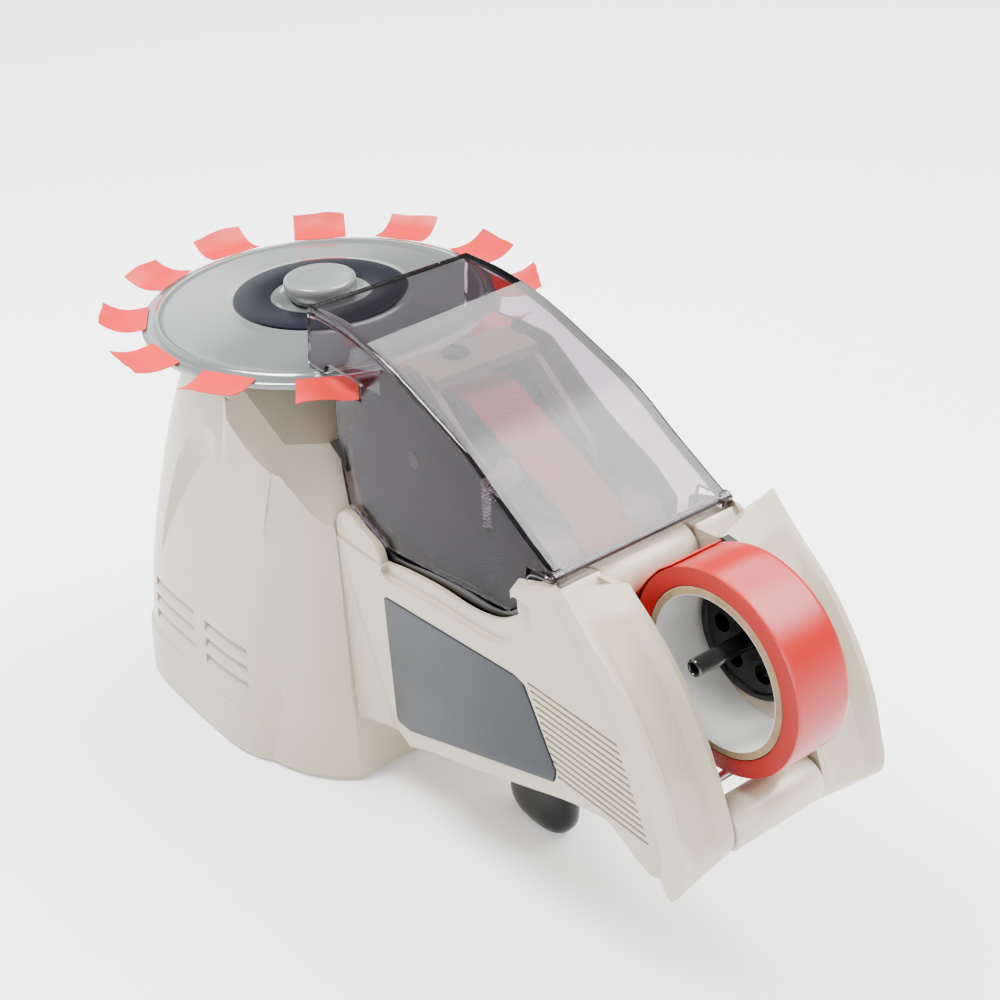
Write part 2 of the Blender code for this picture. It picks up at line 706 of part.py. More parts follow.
def cheek(name):
    """The thick fin beside the roll: a dark flared side, and a front face scooped between its edges."""
    creases = arm_outline(CREASE_SHARES)
    prouds = arm_outline(PROUD_SHARES)
    inners = arm_outline(INNER_SHARES)
    rings = []
    for crease, proud, inner in zip(creases, prouds, inners):
        mid_x = (proud[0] + inner[0]) / 2
        mid_z = (proud[1] + inner[1]) / 2
        lean_x = (crease[0] - mid_x) / math.hypot(crease[0] - mid_x, crease[1] - mid_z)
        lean_z = (crease[1] - mid_z) / math.hypot(crease[0] - mid_x, crease[1] - mid_z)
        outer = -ARM_HALF_WIDTH
        ring = [
            (crease[0], outer + GAP, crease[1]),
            (proud[0], outer - CHEEK_FLARE, proud[1]),
            (proud[0] * 0.95 + inner[0] * 0.05, outer - CHEEK_FLARE + 0.2 * CHEEK_FLARE, proud[1]),
            (mid_x + lean_x * CHEEK_SCOOP, (outer - CHEEK_INNER) / 2, mid_z + lean_z * CHEEK_SCOOP),
            (inner[0], -CHEEK_INNER, inner[1]),
            (crease[0], -CHEEK_INNER, crease[1]),
        ]
        rings.append(ring)
    return loft(name, rings)


def cheek_wall(name):
    """The inner face of the fin, which runs back to the curved apron behind the roll."""
    apron = ROLL_RADIUS + APRON_GAP + WALL + 2 * GAP
    inners = arm_outline(INNER_SHARES)
    back = [round_roll(apron, math.radians(angle)) for angle in (243, 228, 213, 198, 186)]
    foot = arm_point((0.91, 0.497))
    top = arm_point((0.76, 0.96))
    side = arm_point((0.72, 0.90))
    lower = arm_point((1.04, 0.45))
    outline = [*[(x - WALL * 0.4, z - WALL * 0.4) for x, z in inners[:-1]], lower, foot, *back, side, top]
    return flat_plate(name, [outline], -CHEEK_INNER - CHEEK_WALL, -CHEEK_INNER - GAP / 2)


def groove_cutters():
    """Horizontal grooves between the label panel and the crease, as one stack of bars."""
    first = arm_point(FIRST_GROOVE_SHARE)
    last = arm_point(LAST_GROOVE_SHARE)
    ends = [arm_point((share, 0))[0] for share in GROOVE_END_SHARES]
    bars = []
    for row in range(GROOVE_COUNT):
        share = row / (GROOVE_COUNT - 1)
        x = first[0] + (last[0] - first[0]) * share
        z = first[1] + (last[1] - first[1]) * share
        end = ends[0] + (ends[1] - ends[0]) * share
        low = (x, -ARM_HALF_WIDTH - OVERRUN, z - GROOVE_HEIGHT / 2)
        high = (end, -ARM_HALF_WIDTH + GROOVE_DEPTH, z + GROOVE_HEIGHT / 2)
        bars.append(box("groove", low, high))
    return bars


def rounded_outline(points, radius, steps=3):
    """An outline with its corners rounded by arcs."""
    made = []
    count = len(points)
    for index in range(count):
        corner = Vector(points[index])
        before = (Vector(points[index - 1]) - corner).normalized()
        after = (Vector(points[(index + 1) % count]) - corner).normalized()
        half = before.angle(after) / 2
        reach = radius / math.tan(half)
        start = corner + before * reach
        end = corner + after * reach
        middle = corner + (before + after).normalized() * (radius / math.sin(half))
        for step in range(steps + 1):
            blend = start.lerp(end, step / steps)
            point = middle + (blend - middle).normalized() * radius
            made.append((point.x, point.y))
    return made


def axle_bore(name, point, radius, low, high):
    return rod(name, radius, (point[0], 0, point[1]), low, high)


def arm_shell(name):
    """The left side shell: its wall, the block that ends the rim, and the fin beside the roll."""
    inside = -ARM_HALF_WIDTH + SHELL_WALL
    body = flat_plate(name, [arm_outline(WALL_SHARES)], -ARM_HALF_WIDTH, inside)
    combine(body, cheek(name + "_cheek"), "UNION")
    combine(body, cheek_wall(name + "_wall"), "UNION")
    block_outer = -ARM_HALF_WIDTH + EDGE_ROUND
    block = flat_plate(name + "_block", [arm_outline(BLOCK_SHARES)], block_outer, -CHEEK_INNER - GAP)
    combine(body, block, "UNION")
    outside = -ARM_HALF_WIDTH - OVERRUN
    scoop = flat_plate("scoop", [arm_outline(SCOOP_SHARES)], outside, -ARM_HALF_WIDTH + SCOOP_DEPTH)
    combine(body, scoop)
    for point, radius in ((guide_point, AXLE_RADIUS), (lower_point, AXLE_RADIUS), (rod_point, ROD_RADIUS)):
        bore = axle_bore("axle_bore", point, radius + GAP, -CHEEK_INNER - AXLE_SEAT, -CHEEK_INNER + OVERRUN)
        combine(body, bore)
    ear = flat_plate("hinge_ear", [hinge_ring(0)], GAP - ARM_HALF_WIDTH, -COVER_FRONT_HALF_WIDTH - GAP)
    combine(body, ear, "UNION")
    room = flat_plate("lug_room", [hinge_ring(GAP)], -COVER_FRONT_HALF_WIDTH - GAP, OVERRUN - CHEEK_INNER)
    combine(body, room)
    hinge = axle_bore("hinge_bore", hinge_point, HINGE_PIN_RADIUS + GAP, outside, OVERRUN - CHEEK_INNER)
    combine(body, hinge)
    for bar in groove_cutters():
        combine(body, bar)
    return body


def arm():
    left = arm_shell("arm_shell_left")
    finish(copy_mirrored(left, "arm_shell_right"), beige)
    outline = rounded_outline(arm_outline(PANEL_SHARES), PANEL_CORNER + GAP)
    floor = -ARM_HALF_WIDTH + PANEL_RECESS
    recess = flat_plate("panel_recess", [outline], -ARM_HALF_WIDTH - OVERRUN, floor)
    combine(left, recess)
    finish(left, beige)
    inner = [(x, z) for x, z in shrunk(arm_outline(PANEL_SHARES), GAP)]
    outline = rounded_outline(inner, PANEL_CORNER)
    finish(flat_plate("label_panel", [outline], floor - GAP - PANEL_THICKNESS, floor - GAP), slate)


def shrunk(points, distance):
    """A convex outline moved inwards by a distance."""
    made = []
    count = len(points)
    middle = Vector((sum(x for x, _ in points) / count, sum(z for _, z in points) / count))
    for index in range(count):
        corner = Vector(points[index])
        before = (corner - Vector(points[index - 1])).normalized()
        after = (Vector(points[(index + 1) % count]) - corner).normalized()
        sides = []
        for along in (before, after):
            normal = Vector((-along.y, along.x))
            if normal.dot(middle - corner) < 0:
                normal = -normal
            sides.append(normal)
        bisector = (sides[0] + sides[1]).normalized()
        moved = corner + bisector * (distance / max(0.2, bisector.dot(sides[0])))
        made.append((moved.x, moved.y))
    return made


def arm_tray():
    """The arm's underside, with the curved apron behind the roll rising from its front end."""
    lower = arm_outline(TRAY_SHARES)
    upper = [(x, z + WALL) for x, z in reversed(lower)]
    half = ARM_HALF_WIDTH - SHELL_WALL - GAP
    body = flat_plate("arm_tray", [[*lower, *upper]], -half, half)
    inside = ROLL_RADIUS + APRON_GAP
    angles = [math.radians(angle) for angle in range(188, 248, 6)]
    outline = [round_roll(inside, angle) for angle in angles]
    outline += [(lower[-1][0] - GAP, lower[-1][1] + WALL / 2), (lower[-1][0] - WALL, lower[-1][1] + WALL / 2)]
    outline += [round_roll(inside + WALL, angle) for angle in reversed(angles)]
    apron_half = CHEEK_INNER - GAP
    combine(body, flat_plate("apron", [outline], -apron_half, apron_half), "UNION")
    return finish(body, beige)


# Rollers, roll and spindle


def roller(name, radius, point, look):
    """A hollow roller with rounded rims."""
    half = CHEEK_INNER - RUN_GAP
    bore = AXLE_RADIUS + GAP
    rim = EDGE_ROUND
    profile = [(bore, half), (radius - rim, half), (radius, half - rim)]
    profile += [(radius, rim - half), (radius - rim, -half), (bore, -half)]
    return finish(turned(name, profile, (point[0], 0, point[1]), True, True), look)


def rollers():
    guide_empty = axis_empty("guide_roller_axis", (guide_point[0], 0, guide_point[1]))
    lower_empty = axis_empty("lower_roller_axis", (lower_point[0], 0, lower_point[1]))
    carry(guide_empty, roller("guide_roller", GUIDE_RADIUS, guide_point, beige))
    carry(lower_empty, roller("lower_roller", LOWER_RADIUS, lower_point, beige))
    reach = CHEEK_INNER + AXLE_SEAT - GAP
    finish(rod("guide_axle", AXLE_RADIUS, (guide_point[0], 0, guide_point[1]), -reach, reach), steel)
    finish(rod("lower_axle", AXLE_RADIUS, (lower_point[0], 0, lower_point[1]), -reach, reach), steel)
    finish(rod("cross_rod", ROD_RADIUS, (rod_point[0], 0, rod_point[1]), -reach, reach), steel)


def roll():
    place = (roll_x, 0, roll_z)
    empty = axis_empty("tape_roll_axis", place)
    tape = tube("tape_roll", ROLL_RADIUS, CORE_RADIUS + GAP, place, -half_tape, half_tape, steps=48)
    core = tube("tape_core", CORE_RADIUS, CORE_BORE, place, -half_tape - GAP, half_tape + GAP, steps=48)
    carry(empty, finish(tape, tape_red), finish(core, paper_brown))


def spindle():
    place = (spindle_point[0], 0, spindle_point[1])
    seat = CHEEK_INNER - GAP - BRACKET_THICKNESS
    finish(tube("spindle", SPINDLE_RADIUS, SPINDLE_BORE, place, -SPINDLE_REACH, seat - GAP, steps=24), black)
    hub = tube("spindle_hub", hub_radius, SPINDLE_RADIUS + GAP, place, seat - GAP - HUB_WIDTH, seat - RUN_GAP)
    for index in range(HUB_HOLE_COUNT):
        angle = 2 * math.pi * index / HUB_HOLE_COUNT
        middle = (SPINDLE_RADIUS + hub_radius) / 2
        point = (place[0] + middle * math.cos(angle), place[2] + middle * math.sin(angle))
        combine(hub, axle_bore("hub_hole", point, HUB_HOLE_RADIUS, 0, CHEEK_INNER))
    carry(axis_empty("spindle_hub_axis", place), finish(hub, black))
    half = SPINDLE_RADIUS * 2.4
    arc = [math.radians(angle) for angle in range(60, -121, -30)]
    tip = [(place[0] + half * math.cos(a), place[2] + half * math.sin(a)) for a in arc]
    outline = [arm_point((0.812, 0.933)), arm_point((0.850, 0.990)), arm_point((0.925, 0.980)), *tip]
    outline += [arm_point((0.925, 0.810)), arm_point((0.831, 0.880))]
    bracket = flat_plate("spindle_bracket", [outline], seat, CHEEK_INNER - GAP)
    finish(bracket, black)


# Carousel


def disc_height(radius):
    """The height of the disc's upper face at a distance from its axis."""
    share = (DISC_RADIUS - radius) / (DISC_RADIUS - LABEL_RING_RADIUS)
    return DISC_TOP + DISC_RISE * min(1.0, share)


def carousel():
    place = (disc_x, 0, 0)
    empty = axis_empty("carousel_axis", place)
    bead = DISC_RADIUS - PIECE_OVERLAP
    under = DISC_TOP - DISC_THICKNESS
    seat = COWL_HEIGHT + BOSS_HEIGHT + RUN_GAP
    bore = SHAFT_RADIUS + GAP
    recess = disc_height(0) - DISC_BEAD_HEIGHT * 2
    profile = [
        (bore, recess),
        (LABEL_RING_HOLE - DISC_BEAD_HEIGHT, recess),
        (LABEL_RING_HOLE, disc_height(0)),
        (LABEL_RING_RADIUS, disc_height(0)),
        (bead, disc_height(bead)),
        (DISC_RADIUS - DISC_BEAD_HEIGHT, DISC_TOP),
        (DISC_RADIUS, DISC_TOP - DISC_BEAD_HEIGHT),
        (DISC_RADIUS, under),
        (LABEL_RING_RADIUS, under + DISC_RISE / 2),
        (DISC_HUB_RADIUS, under + DISC_RISE / 2),
        (DISC_HUB_RADIUS, seat),
        (bore, seat),
    ]
    disc = turned("carousel_disc", profile, place, closed=True, steps=48)
    low = disc_height(0) + GAP
    ring = tube("label_ring", LABEL_RING_RADIUS, LABEL_RING_HOLE + GAP, place, low,
                low + LABEL_RING_THICKNESS, along_y=False, steps=48)
    top = disc_height(0) + KNOB_HEIGHT
    lip = EDGE_ROUND
    foot = recess + GAP
    head = [(0, top - lip), (KNOB_RADIUS - 3 * lip, top - lip), (KNOB_RADIUS - 2 * lip, top)]
    head += [(KNOB_RADIUS - lip, top), (KNOB_RADIUS, top - lip), (KNOB_RADIUS, foot + lip)]
    head += [(KNOB_RADIUS - lip, foot), (0, foot)]
    knob = turned("hub_knob", head, place)
    shaft = rod("carousel_shaft", SHAFT_RADIUS, place, recess - GAP - SHAFT_LENGTH, recess - GAP, False)
    carry(empty, finish(disc, disc_grey), finish(ring, ring_navy))
    carry(empty, finish(knob, disc_grey), finish(shaft, steel))
    for index in range(PIECE_COUNT):
        piece = tape_piece("tape_piece_%02d" % (index + 1), PIECE_ANGLE - index * 2 * math.pi / PIECE_COUNT)
        carry(empty, piece)
    bearing = tube("carousel_bearing", BEARING_RADIUS, SHAFT_RADIUS + RUN_GAP, place,
                   seat - RUN_GAP - BEARING_LENGTH, seat - RUN_GAP - GAP, along_y=False, steps=24)
    finish(bearing, black)


def tape_piece(name, angle):
    """A strip of tape stuck on the disc's rim. Its free end curls up a little."""
    inner = DISC_RADIUS - PIECE_OVERLAP
    below = []
    for step in range(2):
        radius = inner + step * PIECE_OVERLAP
        below.append((radius, disc_height(radius) + GAP))
    for step in range(1, 4):
        share = step / 3
        below.append((DISC_RADIUS + PIECE_STICK_OUT * share, DISC_TOP + GAP + PIECE_CURL * share**1.7))
    above = [(x, z + FILM) for x, z in reversed(below)]
    strip = flat_plate(name, [[*below, *above]], -half_tape, half_tape)
    strip.data.transform(Matrix.Translation((disc_x, 0, 0)) @ Matrix.Rotation(angle, 4, "Z"))
    return finish(strip, tape_red)


# Feed and cutter


def mech_plates():
    outline = arm_outline(PLATE_SHARES)
    tray = [(x, tray_top(x) + GAP) for x in (outline[9][0], outline[10][0])]
    outline[9:11] = tray
    for name, side in (("mech_plate_left", -1), ("mech_plate_right", 1)):
        near, far = sorted((side * PLATE_INNER, side * (PLATE_INNER + PLATE_THICKNESS)))
        plate = flat_plate(name, [outline], near, far)
        if side < 0:
            place = (spring_foot_point[0], 0, spring_foot_point[1])
            post = rod("spring_foot", POST_RADIUS, place, spring_y() - POST_RADIUS, near + WALL / 2)
            combine(plate, post, "UNION")
        reach = PLATE_INNER + PLATE_THICKNESS + OVERRUN
        combine(plate, axle_bore("feed_bore", (drum_x, drum_z), FEED_AXLE_RADIUS + GAP, -reach, reach))
        finish(plate, dark_metal)


def spring_y():
    return -(PLATE_INNER + PLATE_THICKNESS + SPRING_COIL + SPRING_WIRE + GAP)


def feed():
    place = (drum_x, 0, drum_z)
    half = DRUM_HALF_WIDTH
    bore = FEED_AXLE_RADIUS + GAP
    profile = [(bore, half), (DRUM_RADIUS, half)]
    pitch = 2 * half / (DRUM_RIB_COUNT + 1)
    for index in range(DRUM_RIB_COUNT):
        y = half - pitch * (index + 1)
        profile += [(DRUM_RADIUS, y + DRUM_GROOVE), (DRUM_RADIUS - DRUM_GROOVE, y)]
        profile += [(DRUM_RADIUS, y - DRUM_GROOVE)]
    profile += [(DRUM_RADIUS, -half), (bore, -half)]
    drum = turned("feed_drum", profile, place, True, True, steps=28)
    reach = PLATE_INNER + PLATE_THICKNESS + GAP * 2
    axle = rod("feed_axle", FEED_AXLE_RADIUS, place, -reach, reach)
    carry(axis_empty("feed_drum_axis", place), finish(drum, black), finish(axle, steel))
    anvil_x, anvil_z = arm_point(ANVIL_SHARE)
    high_x = drum_x - DRUM_RADIUS - GAP * 3
    inner = PLATE_INNER - GAP
    anvil = box("anvil_plate", (anvil_x, -inner, anvil_z), (high_x, inner, anvil_z + THIN_WALL * 0.7))
    finish(anvil, steel)
    front_x = guide_point[0] - GUIDE_RADIUS - BLOCK_SETBACK
    back_x = front_x - BLOCK_LENGTH
    low_z = guide_point[1] - BLOCK_DROP
    nose_z = guide_point[1] - BLOCK_NOSE_DROP
    high_z = guide_point[1] + BLOCK_RISE
    outline = [(back_x, low_z), (front_x, low_z), (front_x, nose_z), (front_x - BLOCK_SLANT, high_z)]
    outline.append((back_x, high_z))
    block = flat_plate("front_cross_block", [outline], -inner, inner)
    finish(bevel(block, EDGE_ROUND), tan)
    tape_guide()


def tape_guide():
    """The sloping chute under the tape, with a flange on each side and ears that reach the plates."""
    (x0, z0), (x1, z1) = chute_low, chute_high
    half = half_tape + WALL
    deep = FILM * 3
    sheet = [(x0, z0), (x1, z1), (x1, z1 - deep), (x0, z0 - deep)]
    body = flat_plate("tape_guide", [sheet], -half, half)
    slope = (z1 - z0) / (x1 - x0)
    for side in (-1, 1):
        y = sorted((side * half, side * (half - FILM * 3)))
        wall = [(x0 - WALL, z0 - deep - slope * WALL), (x0 - WALL, z0 + WALL * 1.5)]
        wall += [(x1 + WALL, z1 + WALL), (x1 + WALL, z1 - deep + slope * WALL)]
        combine(body, flat_plate("guide_flange", [wall], *y), "UNION")
    ear_back = x0 - LEVER_HALF_HEIGHT * 1.6
    ear = [(x0 - WALL, z0 - slope * WALL - GAP), (ear_back, z0 + slope * (ear_back - x0) - GAP)]
    ear += [(ear_back, z0 + slope * (ear_back - x0) - deep), (x0 - WALL, z0 - deep - slope * WALL)]
    inner = PLATE_INNER - GAP
    combine(body, flat_plate("guide_ears", [ear], -inner, inner), "UNION")
    return finish(body, dark_metal)


def web_path():
    """The tape's way from the roll, under the guide roller and up over the feed drum."""
    offset = FILM / 2 + GAP
    roll_reach = ROLL_RADIUS + offset
    guide_reach = GUIDE_RADIUS + offset
    apart = math.hypot(roll_x - guide_point[0], roll_z - guide_point[1])
    swing = math.acos((roll_reach + guide_reach) / apart)
    leave = GUIDE_DIRECTION - swing
    points = [round_roll(roll_reach, leave - math.radians(angle)) for angle in (24, 12, 0)]

    def round_guide(angle):
        return guide_point[0] + guide_reach * math.cos(angle), guide_point[1] + guide_reach * math.sin(angle)

    lip = chute_lip
    start = GUIDE_DIRECTION + math.pi - swing
    far = math.hypot(lip[0] - guide_point[0], lip[1] - guide_point[1])
    to_lip = math.atan2(lip[1] - guide_point[1], lip[0] - guide_point[0])
    end = to_lip + math.acos(guide_reach / far)
    for step in range(7):
        points.append(round_guide(start + (end - start) * step / 6))
    points.append(lip)
    drum_reach = DRUM_RADIUS + offset
    far = math.hypot(lip[0] - drum_x, lip[1] - drum_z)
    to_lip = math.atan2(lip[1] - drum_z, lip[0] - drum_x)
    start = to_lip + math.acos(drum_reach / far)
    end = math.radians(122)
    for step in range(5):
        angle = start + (end - start) * step / 4
        points.append((drum_x + drum_reach * math.cos(angle), drum_z + drum_reach * math.sin(angle)))
    return points


def tape_web():
    """The strip of tape along its path, as thick as its film."""
    points = [Vector(point) for point in web_path()]
    sides = [[], []]
    for index, point in enumerate(points):
        before = points[max(0, index - 1)]
        after = points[min(len(points) - 1, index + 1)]
        along = (after - before).normalized()
        normal = Vector((-along.y, along.x)) * (FILM / 2)
        sides[0].append(tuple(point + normal))
        sides[1].append(tuple(point - normal))
    outline = [*sides[0], *reversed(sides[1])]
    return finish(flat_plate("tape_web", [outline], -half_tape, half_tape), tape_red)


def lever_bar(name, start, end, y_low, y_high):
    """A flat bar between two points, with round ends."""
    along = Vector(end) - Vector(start)
    turn = math.atan2(along.y, along.x)
    outline = []
    for point, first in ((end, turn - math.pi / 2), (start, turn + math.pi / 2)):
        for step in range(7):
            angle = first + math.pi * step / 6
            outline.append((point[0] + LEVER_HALF_HEIGHT * math.cos(angle),
                            point[1] + LEVER_HALF_HEIGHT * math.sin(angle)))
    return flat_plate(name, [outline], y_low, y_high)


def cutter():
    pivot = (pivot_point[0], 0, pivot_point[1])
    empty = axis_empty("cutter_axis", pivot)
    head_x = blade_x - BLADE_THICKNESS * 4
    inner = HEAD_HALF_WIDTH
    outer = inner + LEVER_THICKNESS
    body = box(
        "cutter_lever",
        (head_x, -inner - LEVER_THICKNESS / 2, head_bottom),
        (head_x + HEAD_LENGTH, inner + LEVER_THICKNESS / 2, head_bottom + HEAD_HEIGHT),
    )
    nose = (head_x + HEAD_LENGTH * 0.6, head_bottom + HEAD_HEIGHT - LEVER_HALF_HEIGHT)
    tail = tail_point
    for side in (-1, 1):
        low, high = sorted((side * inner, side * outer))
        combine(body, lever_bar("lever_front", pivot_point, nose, low, high), "UNION")
    combine(body, lever_bar("lever_tail", pivot_point, tail, -outer + GAP / 10, -inner - GAP / 10), "UNION")
    post = rod("tail_post", POST_RADIUS, (tail[0], 0, tail[1]), spring_y() - POST_RADIUS, -inner - GAP)
    combine(body, post, "UNION")
    reach = outer + OVERRUN
    combine(body, axle_bore("pivot_bore", pivot_point, PIVOT_RADIUS + GAP, -reach, reach))
    slot = box("blade_slot", (blade_x - GAP, -half_tape - WALL - GAP, head_bottom - OVERRUN),
               (blade_x + BLADE_THICKNESS + GAP, half_tape + WALL + GAP, head_bottom + HEAD_HEIGHT / 2))
    combine(body, slot)
    top = head_bottom + HEAD_HEIGHT / 2 - GAP
    blade = box("cutter_blade", (blade_x, -half_tape - WALL, top - BLADE_HEIGHT),
                (blade_x + BLADE_THICKNESS, half_tape + WALL, top))
    low = head_bottom + HEAD_HEIGHT + GAP
    dome = [(0, SCREW_HEIGHT)]
    for angle in [math.radians(degrees) for degrees in (30, 60, 90)]:
        dome.append((SCREW_RADIUS * math.sin(angle), SCREW_HEIGHT * (0.3 + 0.7 * math.cos(angle))))
    dome += [(SCREW_RADIUS, 0), (0, 0)]
    screw_place = (head_x + HEAD_LENGTH * 0.38, -SCREW_RADIUS, low)
    screw = turned("cutter_screw", dome, screw_place, steps=24)
    reach = SCREW_RADIUS * 1.1
    notch_low = (screw_place[0] - reach, screw_place[1] - SCREW_SLOT / 2, low + SCREW_HEIGHT * 0.7)
    notch_high = (screw_place[0] + reach, screw_place[1] + SCREW_SLOT / 2, low + SCREW_HEIGHT * 2)
    notch = box("screw_slot", notch_low, notch_high)
    combine(screw, notch)
    carry(empty, finish(body, tan), finish(blade, steel), finish(screw, dark_metal))
    reach = PLATE_INNER - GAP
    finish(rod("cutter_pivot_pin", PIVOT_RADIUS, pivot, -reach, reach), steel)
    return_spring()


def return_spring():
    """A tension spring from the plate's foot to the lever's tail, wound round a vertical line."""
    tail = tail_point
    low = spring_foot_point[1] + POST_RADIUS + SPRING_WIRE + GAP
    high = tail[1] - POST_RADIUS - SPRING_WIRE - GAP
    per_turn = 6
    count = SPRING_TURNS * per_turn
    curve = bpy.data.curves.new("return_spring", "CURVE")
    curve.dimensions = "3D"
    curve.bevel_depth = SPRING_WIRE
    curve.bevel_resolution = 1
    curve.use_fill_caps = True
    spline = curve.splines.new("POLY")
    spline.points.add(count)
    for index, point in enumerate(spline.points):
        share = index / count
        angle = 2 * math.pi * index / per_turn
        x = tail[0] + SPRING_COIL * math.cos(angle)
        y = spring_y() + SPRING_COIL * math.sin(angle)
        point.co = (x, y, low + (high - low) * share, 1)
    made = bpy.data.objects.new("return_spring", curve)
    parts.objects.link(made)
    made.data.materials.append(steel)


# Cover


def cover():
    """The smoked cover: a bent top sheet and two sides, open behind, below and in front."""
    outline = arm_outline(COVER_SHARES)
    top = outline[:COVER_TOP_COUNT]
    inside = [(x, z - COVER_WALL * 1.15) for x, z in top]
    inside[0] = (top[0][0] - OVERRUN * 3, inside[0][1])
    inside[-1] = (top[-1][0] + OVERRUN, inside[-1][1] - OVERRUN)
    floor = arm_point((0, 0.70))[1]
    inside += [(inside[-1][0], floor), (inside[0][0], floor)]
    half = COVER_REAR_HALF_WIDTH
    body = flat_plate("cover_shell", [outline], -half, half)
    select_fold_bevel(body, top)
    hollow = flat_plate("cover_inside", [inside], -half + COVER_WALL, half - COVER_WALL)
    combine(body, hollow)
    taper(body, top[0][0], top[-1][0])
    taper(hollow, top[0][0], top[-1][0])
    lug = flat_plate("hinge_lug", [hinge_ring(0)], -COVER_FRONT_HALF_WIDTH, COVER_FRONT_HALF_WIDTH)
    apart = half - COVER_WALL
    combine(lug, box("lug_middle", (hinge_point[0] - OVERRUN * 2, -apart, hinge_point[1] - OVERRUN * 2),
                     (hinge_point[0] + OVERRUN * 2, apart, hinge_point[1] + OVERRUN * 2)))
    combine(body, lug, "UNION")
    reach = COVER_FRONT_HALF_WIDTH + OVERRUN
    combine(body, axle_bore("cover_bore", hinge_point, HINGE_PIN_RADIUS + GAP, -reach, reach))
    empty = axis_empty("cover_hinge_axis", (hinge_point[0], 0, hinge_point[1]))
    carry(empty, finish(body, smoke))
    reach = ARM_HALF_WIDTH - GAP
    place = (hinge_point[0], 0, hinge_point[1])
    pin = rod("cover_hinge_pin", HINGE_PIN_RADIUS, place, -reach, reach, steps=12)
    finish(pin, steel)
    for name, side in (("cover_rest_left", -1), ("cover_rest_right", 1)):
        outer = ARM_HALF_WIDTH - SHELL_WALL - GAP
        low, high = sorted((side * outer, side * (outer - WALL * 1.6)))
        finish(flat_plate(name, [arm_outline(REST_SHARES)], low, high), black)


def hinge_ring(extra):
    """A circle round the cover's hinge, as large as the lug and wider by an amount."""
    ring = []
    reach = HINGE_PIN_RADIUS + GAP + COVER_WALL + extra
    for step in range(12):
        angle = 2 * math.pi * step / 12
        ring.append((hinge_point[0] + reach * math.cos(angle), hinge_point[1] + reach * math.sin(angle)))
    return ring


def taper(obj, rear, front):
    """Widens the sides evenly from the rear half width to the front one."""
    for vertex in obj.data.vertices:
        share = (vertex.co.x - rear) / (front - rear)
        wide = COVER_FRONT_HALF_WIDTH - COVER_REAR_HALF_WIDTH
        vertex.co.y += math.copysign(wide * share, vertex.co.y)


def select_fold_bevel(obj, top):
    """Rounds the two folds between the top sheet and the sides."""
    shape = bmesh.new()
    shape.from_mesh(obj.data)
    places = [Vector(point) for point in top]
    folds = []
    for edge in shape.edges:
        ends = [Vector((vertex.co.x, vertex.co.z)) for vertex in edge.verts]
        flat = abs(edge.verts[0].co.y - edge.verts[1].co.y) < COVER_WALL
        on_top = all(min((end - place).length for place in places) < COVER_WALL for end in ends)
        if flat and on_top:
            folds.append(edge)
    bmesh.ops.bevel(shape, geom=folds, offset=COVER_FOLD, segments=3, profile=0.5, affect="EDGES")
    shape.to_mesh(obj.data)
    shape.free()


# Inside the housing


def electrics():
    shaft_low = disc_height(0) - DISC_BEAD_HEIGHT * 2 - GAP - SHAFT_LENGTH
    low = shaft_low - GAP - MOTOR_LENGTH
    motor = rod("drive_motor", MOTOR_RADIUS, (disc_x, 0, 0), low, shaft_low - GAP, False, 32)
    finish(motor, dark_metal)
    floor = HOUSING_FLOOR + BASE_THICKNESS + GAP
    board = box("control_board", (disc_x - BOARD_LENGTH / 2, -BOARD_WIDTH / 2, floor),
                (disc_x + BOARD_LENGTH / 2, BOARD_WIDTH / 2, floor + BOARD_THICKNESS))
    finish(board, board_green)
    finish(inlet_rod("power_inlet", INLET_RADIUS, 0, INLET_LENGTH, INLET_BORE), black)
    rear = cowl_x - COWL_HALF_LENGTH
    half = SWITCH_WIDTH / 2
    bezel = box("switch_bezel", (rear, -half, SWITCH_Z - SWITCH_HEIGHT / 2),
                (rear + SWITCH_DEPTH, half, SWITCH_Z + SWITCH_HEIGHT / 2))
    half -= SWITCH_WALL
    tall = SWITCH_HEIGHT / 2 - SWITCH_WALL
    floor = rear + SWITCH_DEPTH * 0.8
    well = box("switch_well", (rear - OVERRUN, -half, SWITCH_Z - tall), (floor, half, SWITCH_Z + tall))
    finish(combine(bezel, well), black)
    rocker_x = rear + SWITCH_DEPTH * 0.45
    reach = half - RUN_GAP
    high = tall - RUN_GAP * 3
    outline = [(rocker_x - ROCKER_DEPTH, SWITCH_Z + high * 0.8), (rocker_x - ROCKER_DEPTH * 0.65, SWITCH_Z)]
    outline += [(rocker_x - ROCKER_DEPTH, SWITCH_Z - high * 0.8), (rocker_x, SWITCH_Z - high * 0.6)]
    outline += [(rocker_x, SWITCH_Z + high * 0.6)]
    rocker = flat_plate("power_rocker", [outline], -reach, reach)
    carry(axis_empty("power_rocker_axis", (rocker_x, 0, SWITCH_Z)), finish(rocker, black))


rear_housing()
base_plate()
feet()
front_support()
arm()
arm_tray()
rollers()
roll()
spindle()
carousel()
mech_plates()
feed()
tape_web()
cutter()
cover()
electrics()
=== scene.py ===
"""Looks of the carousel tape dispenser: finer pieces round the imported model, materials, light and camera."""

import json
import math

import bmesh
import bpy
import numpy as np
from mathutils import Matrix, Vector


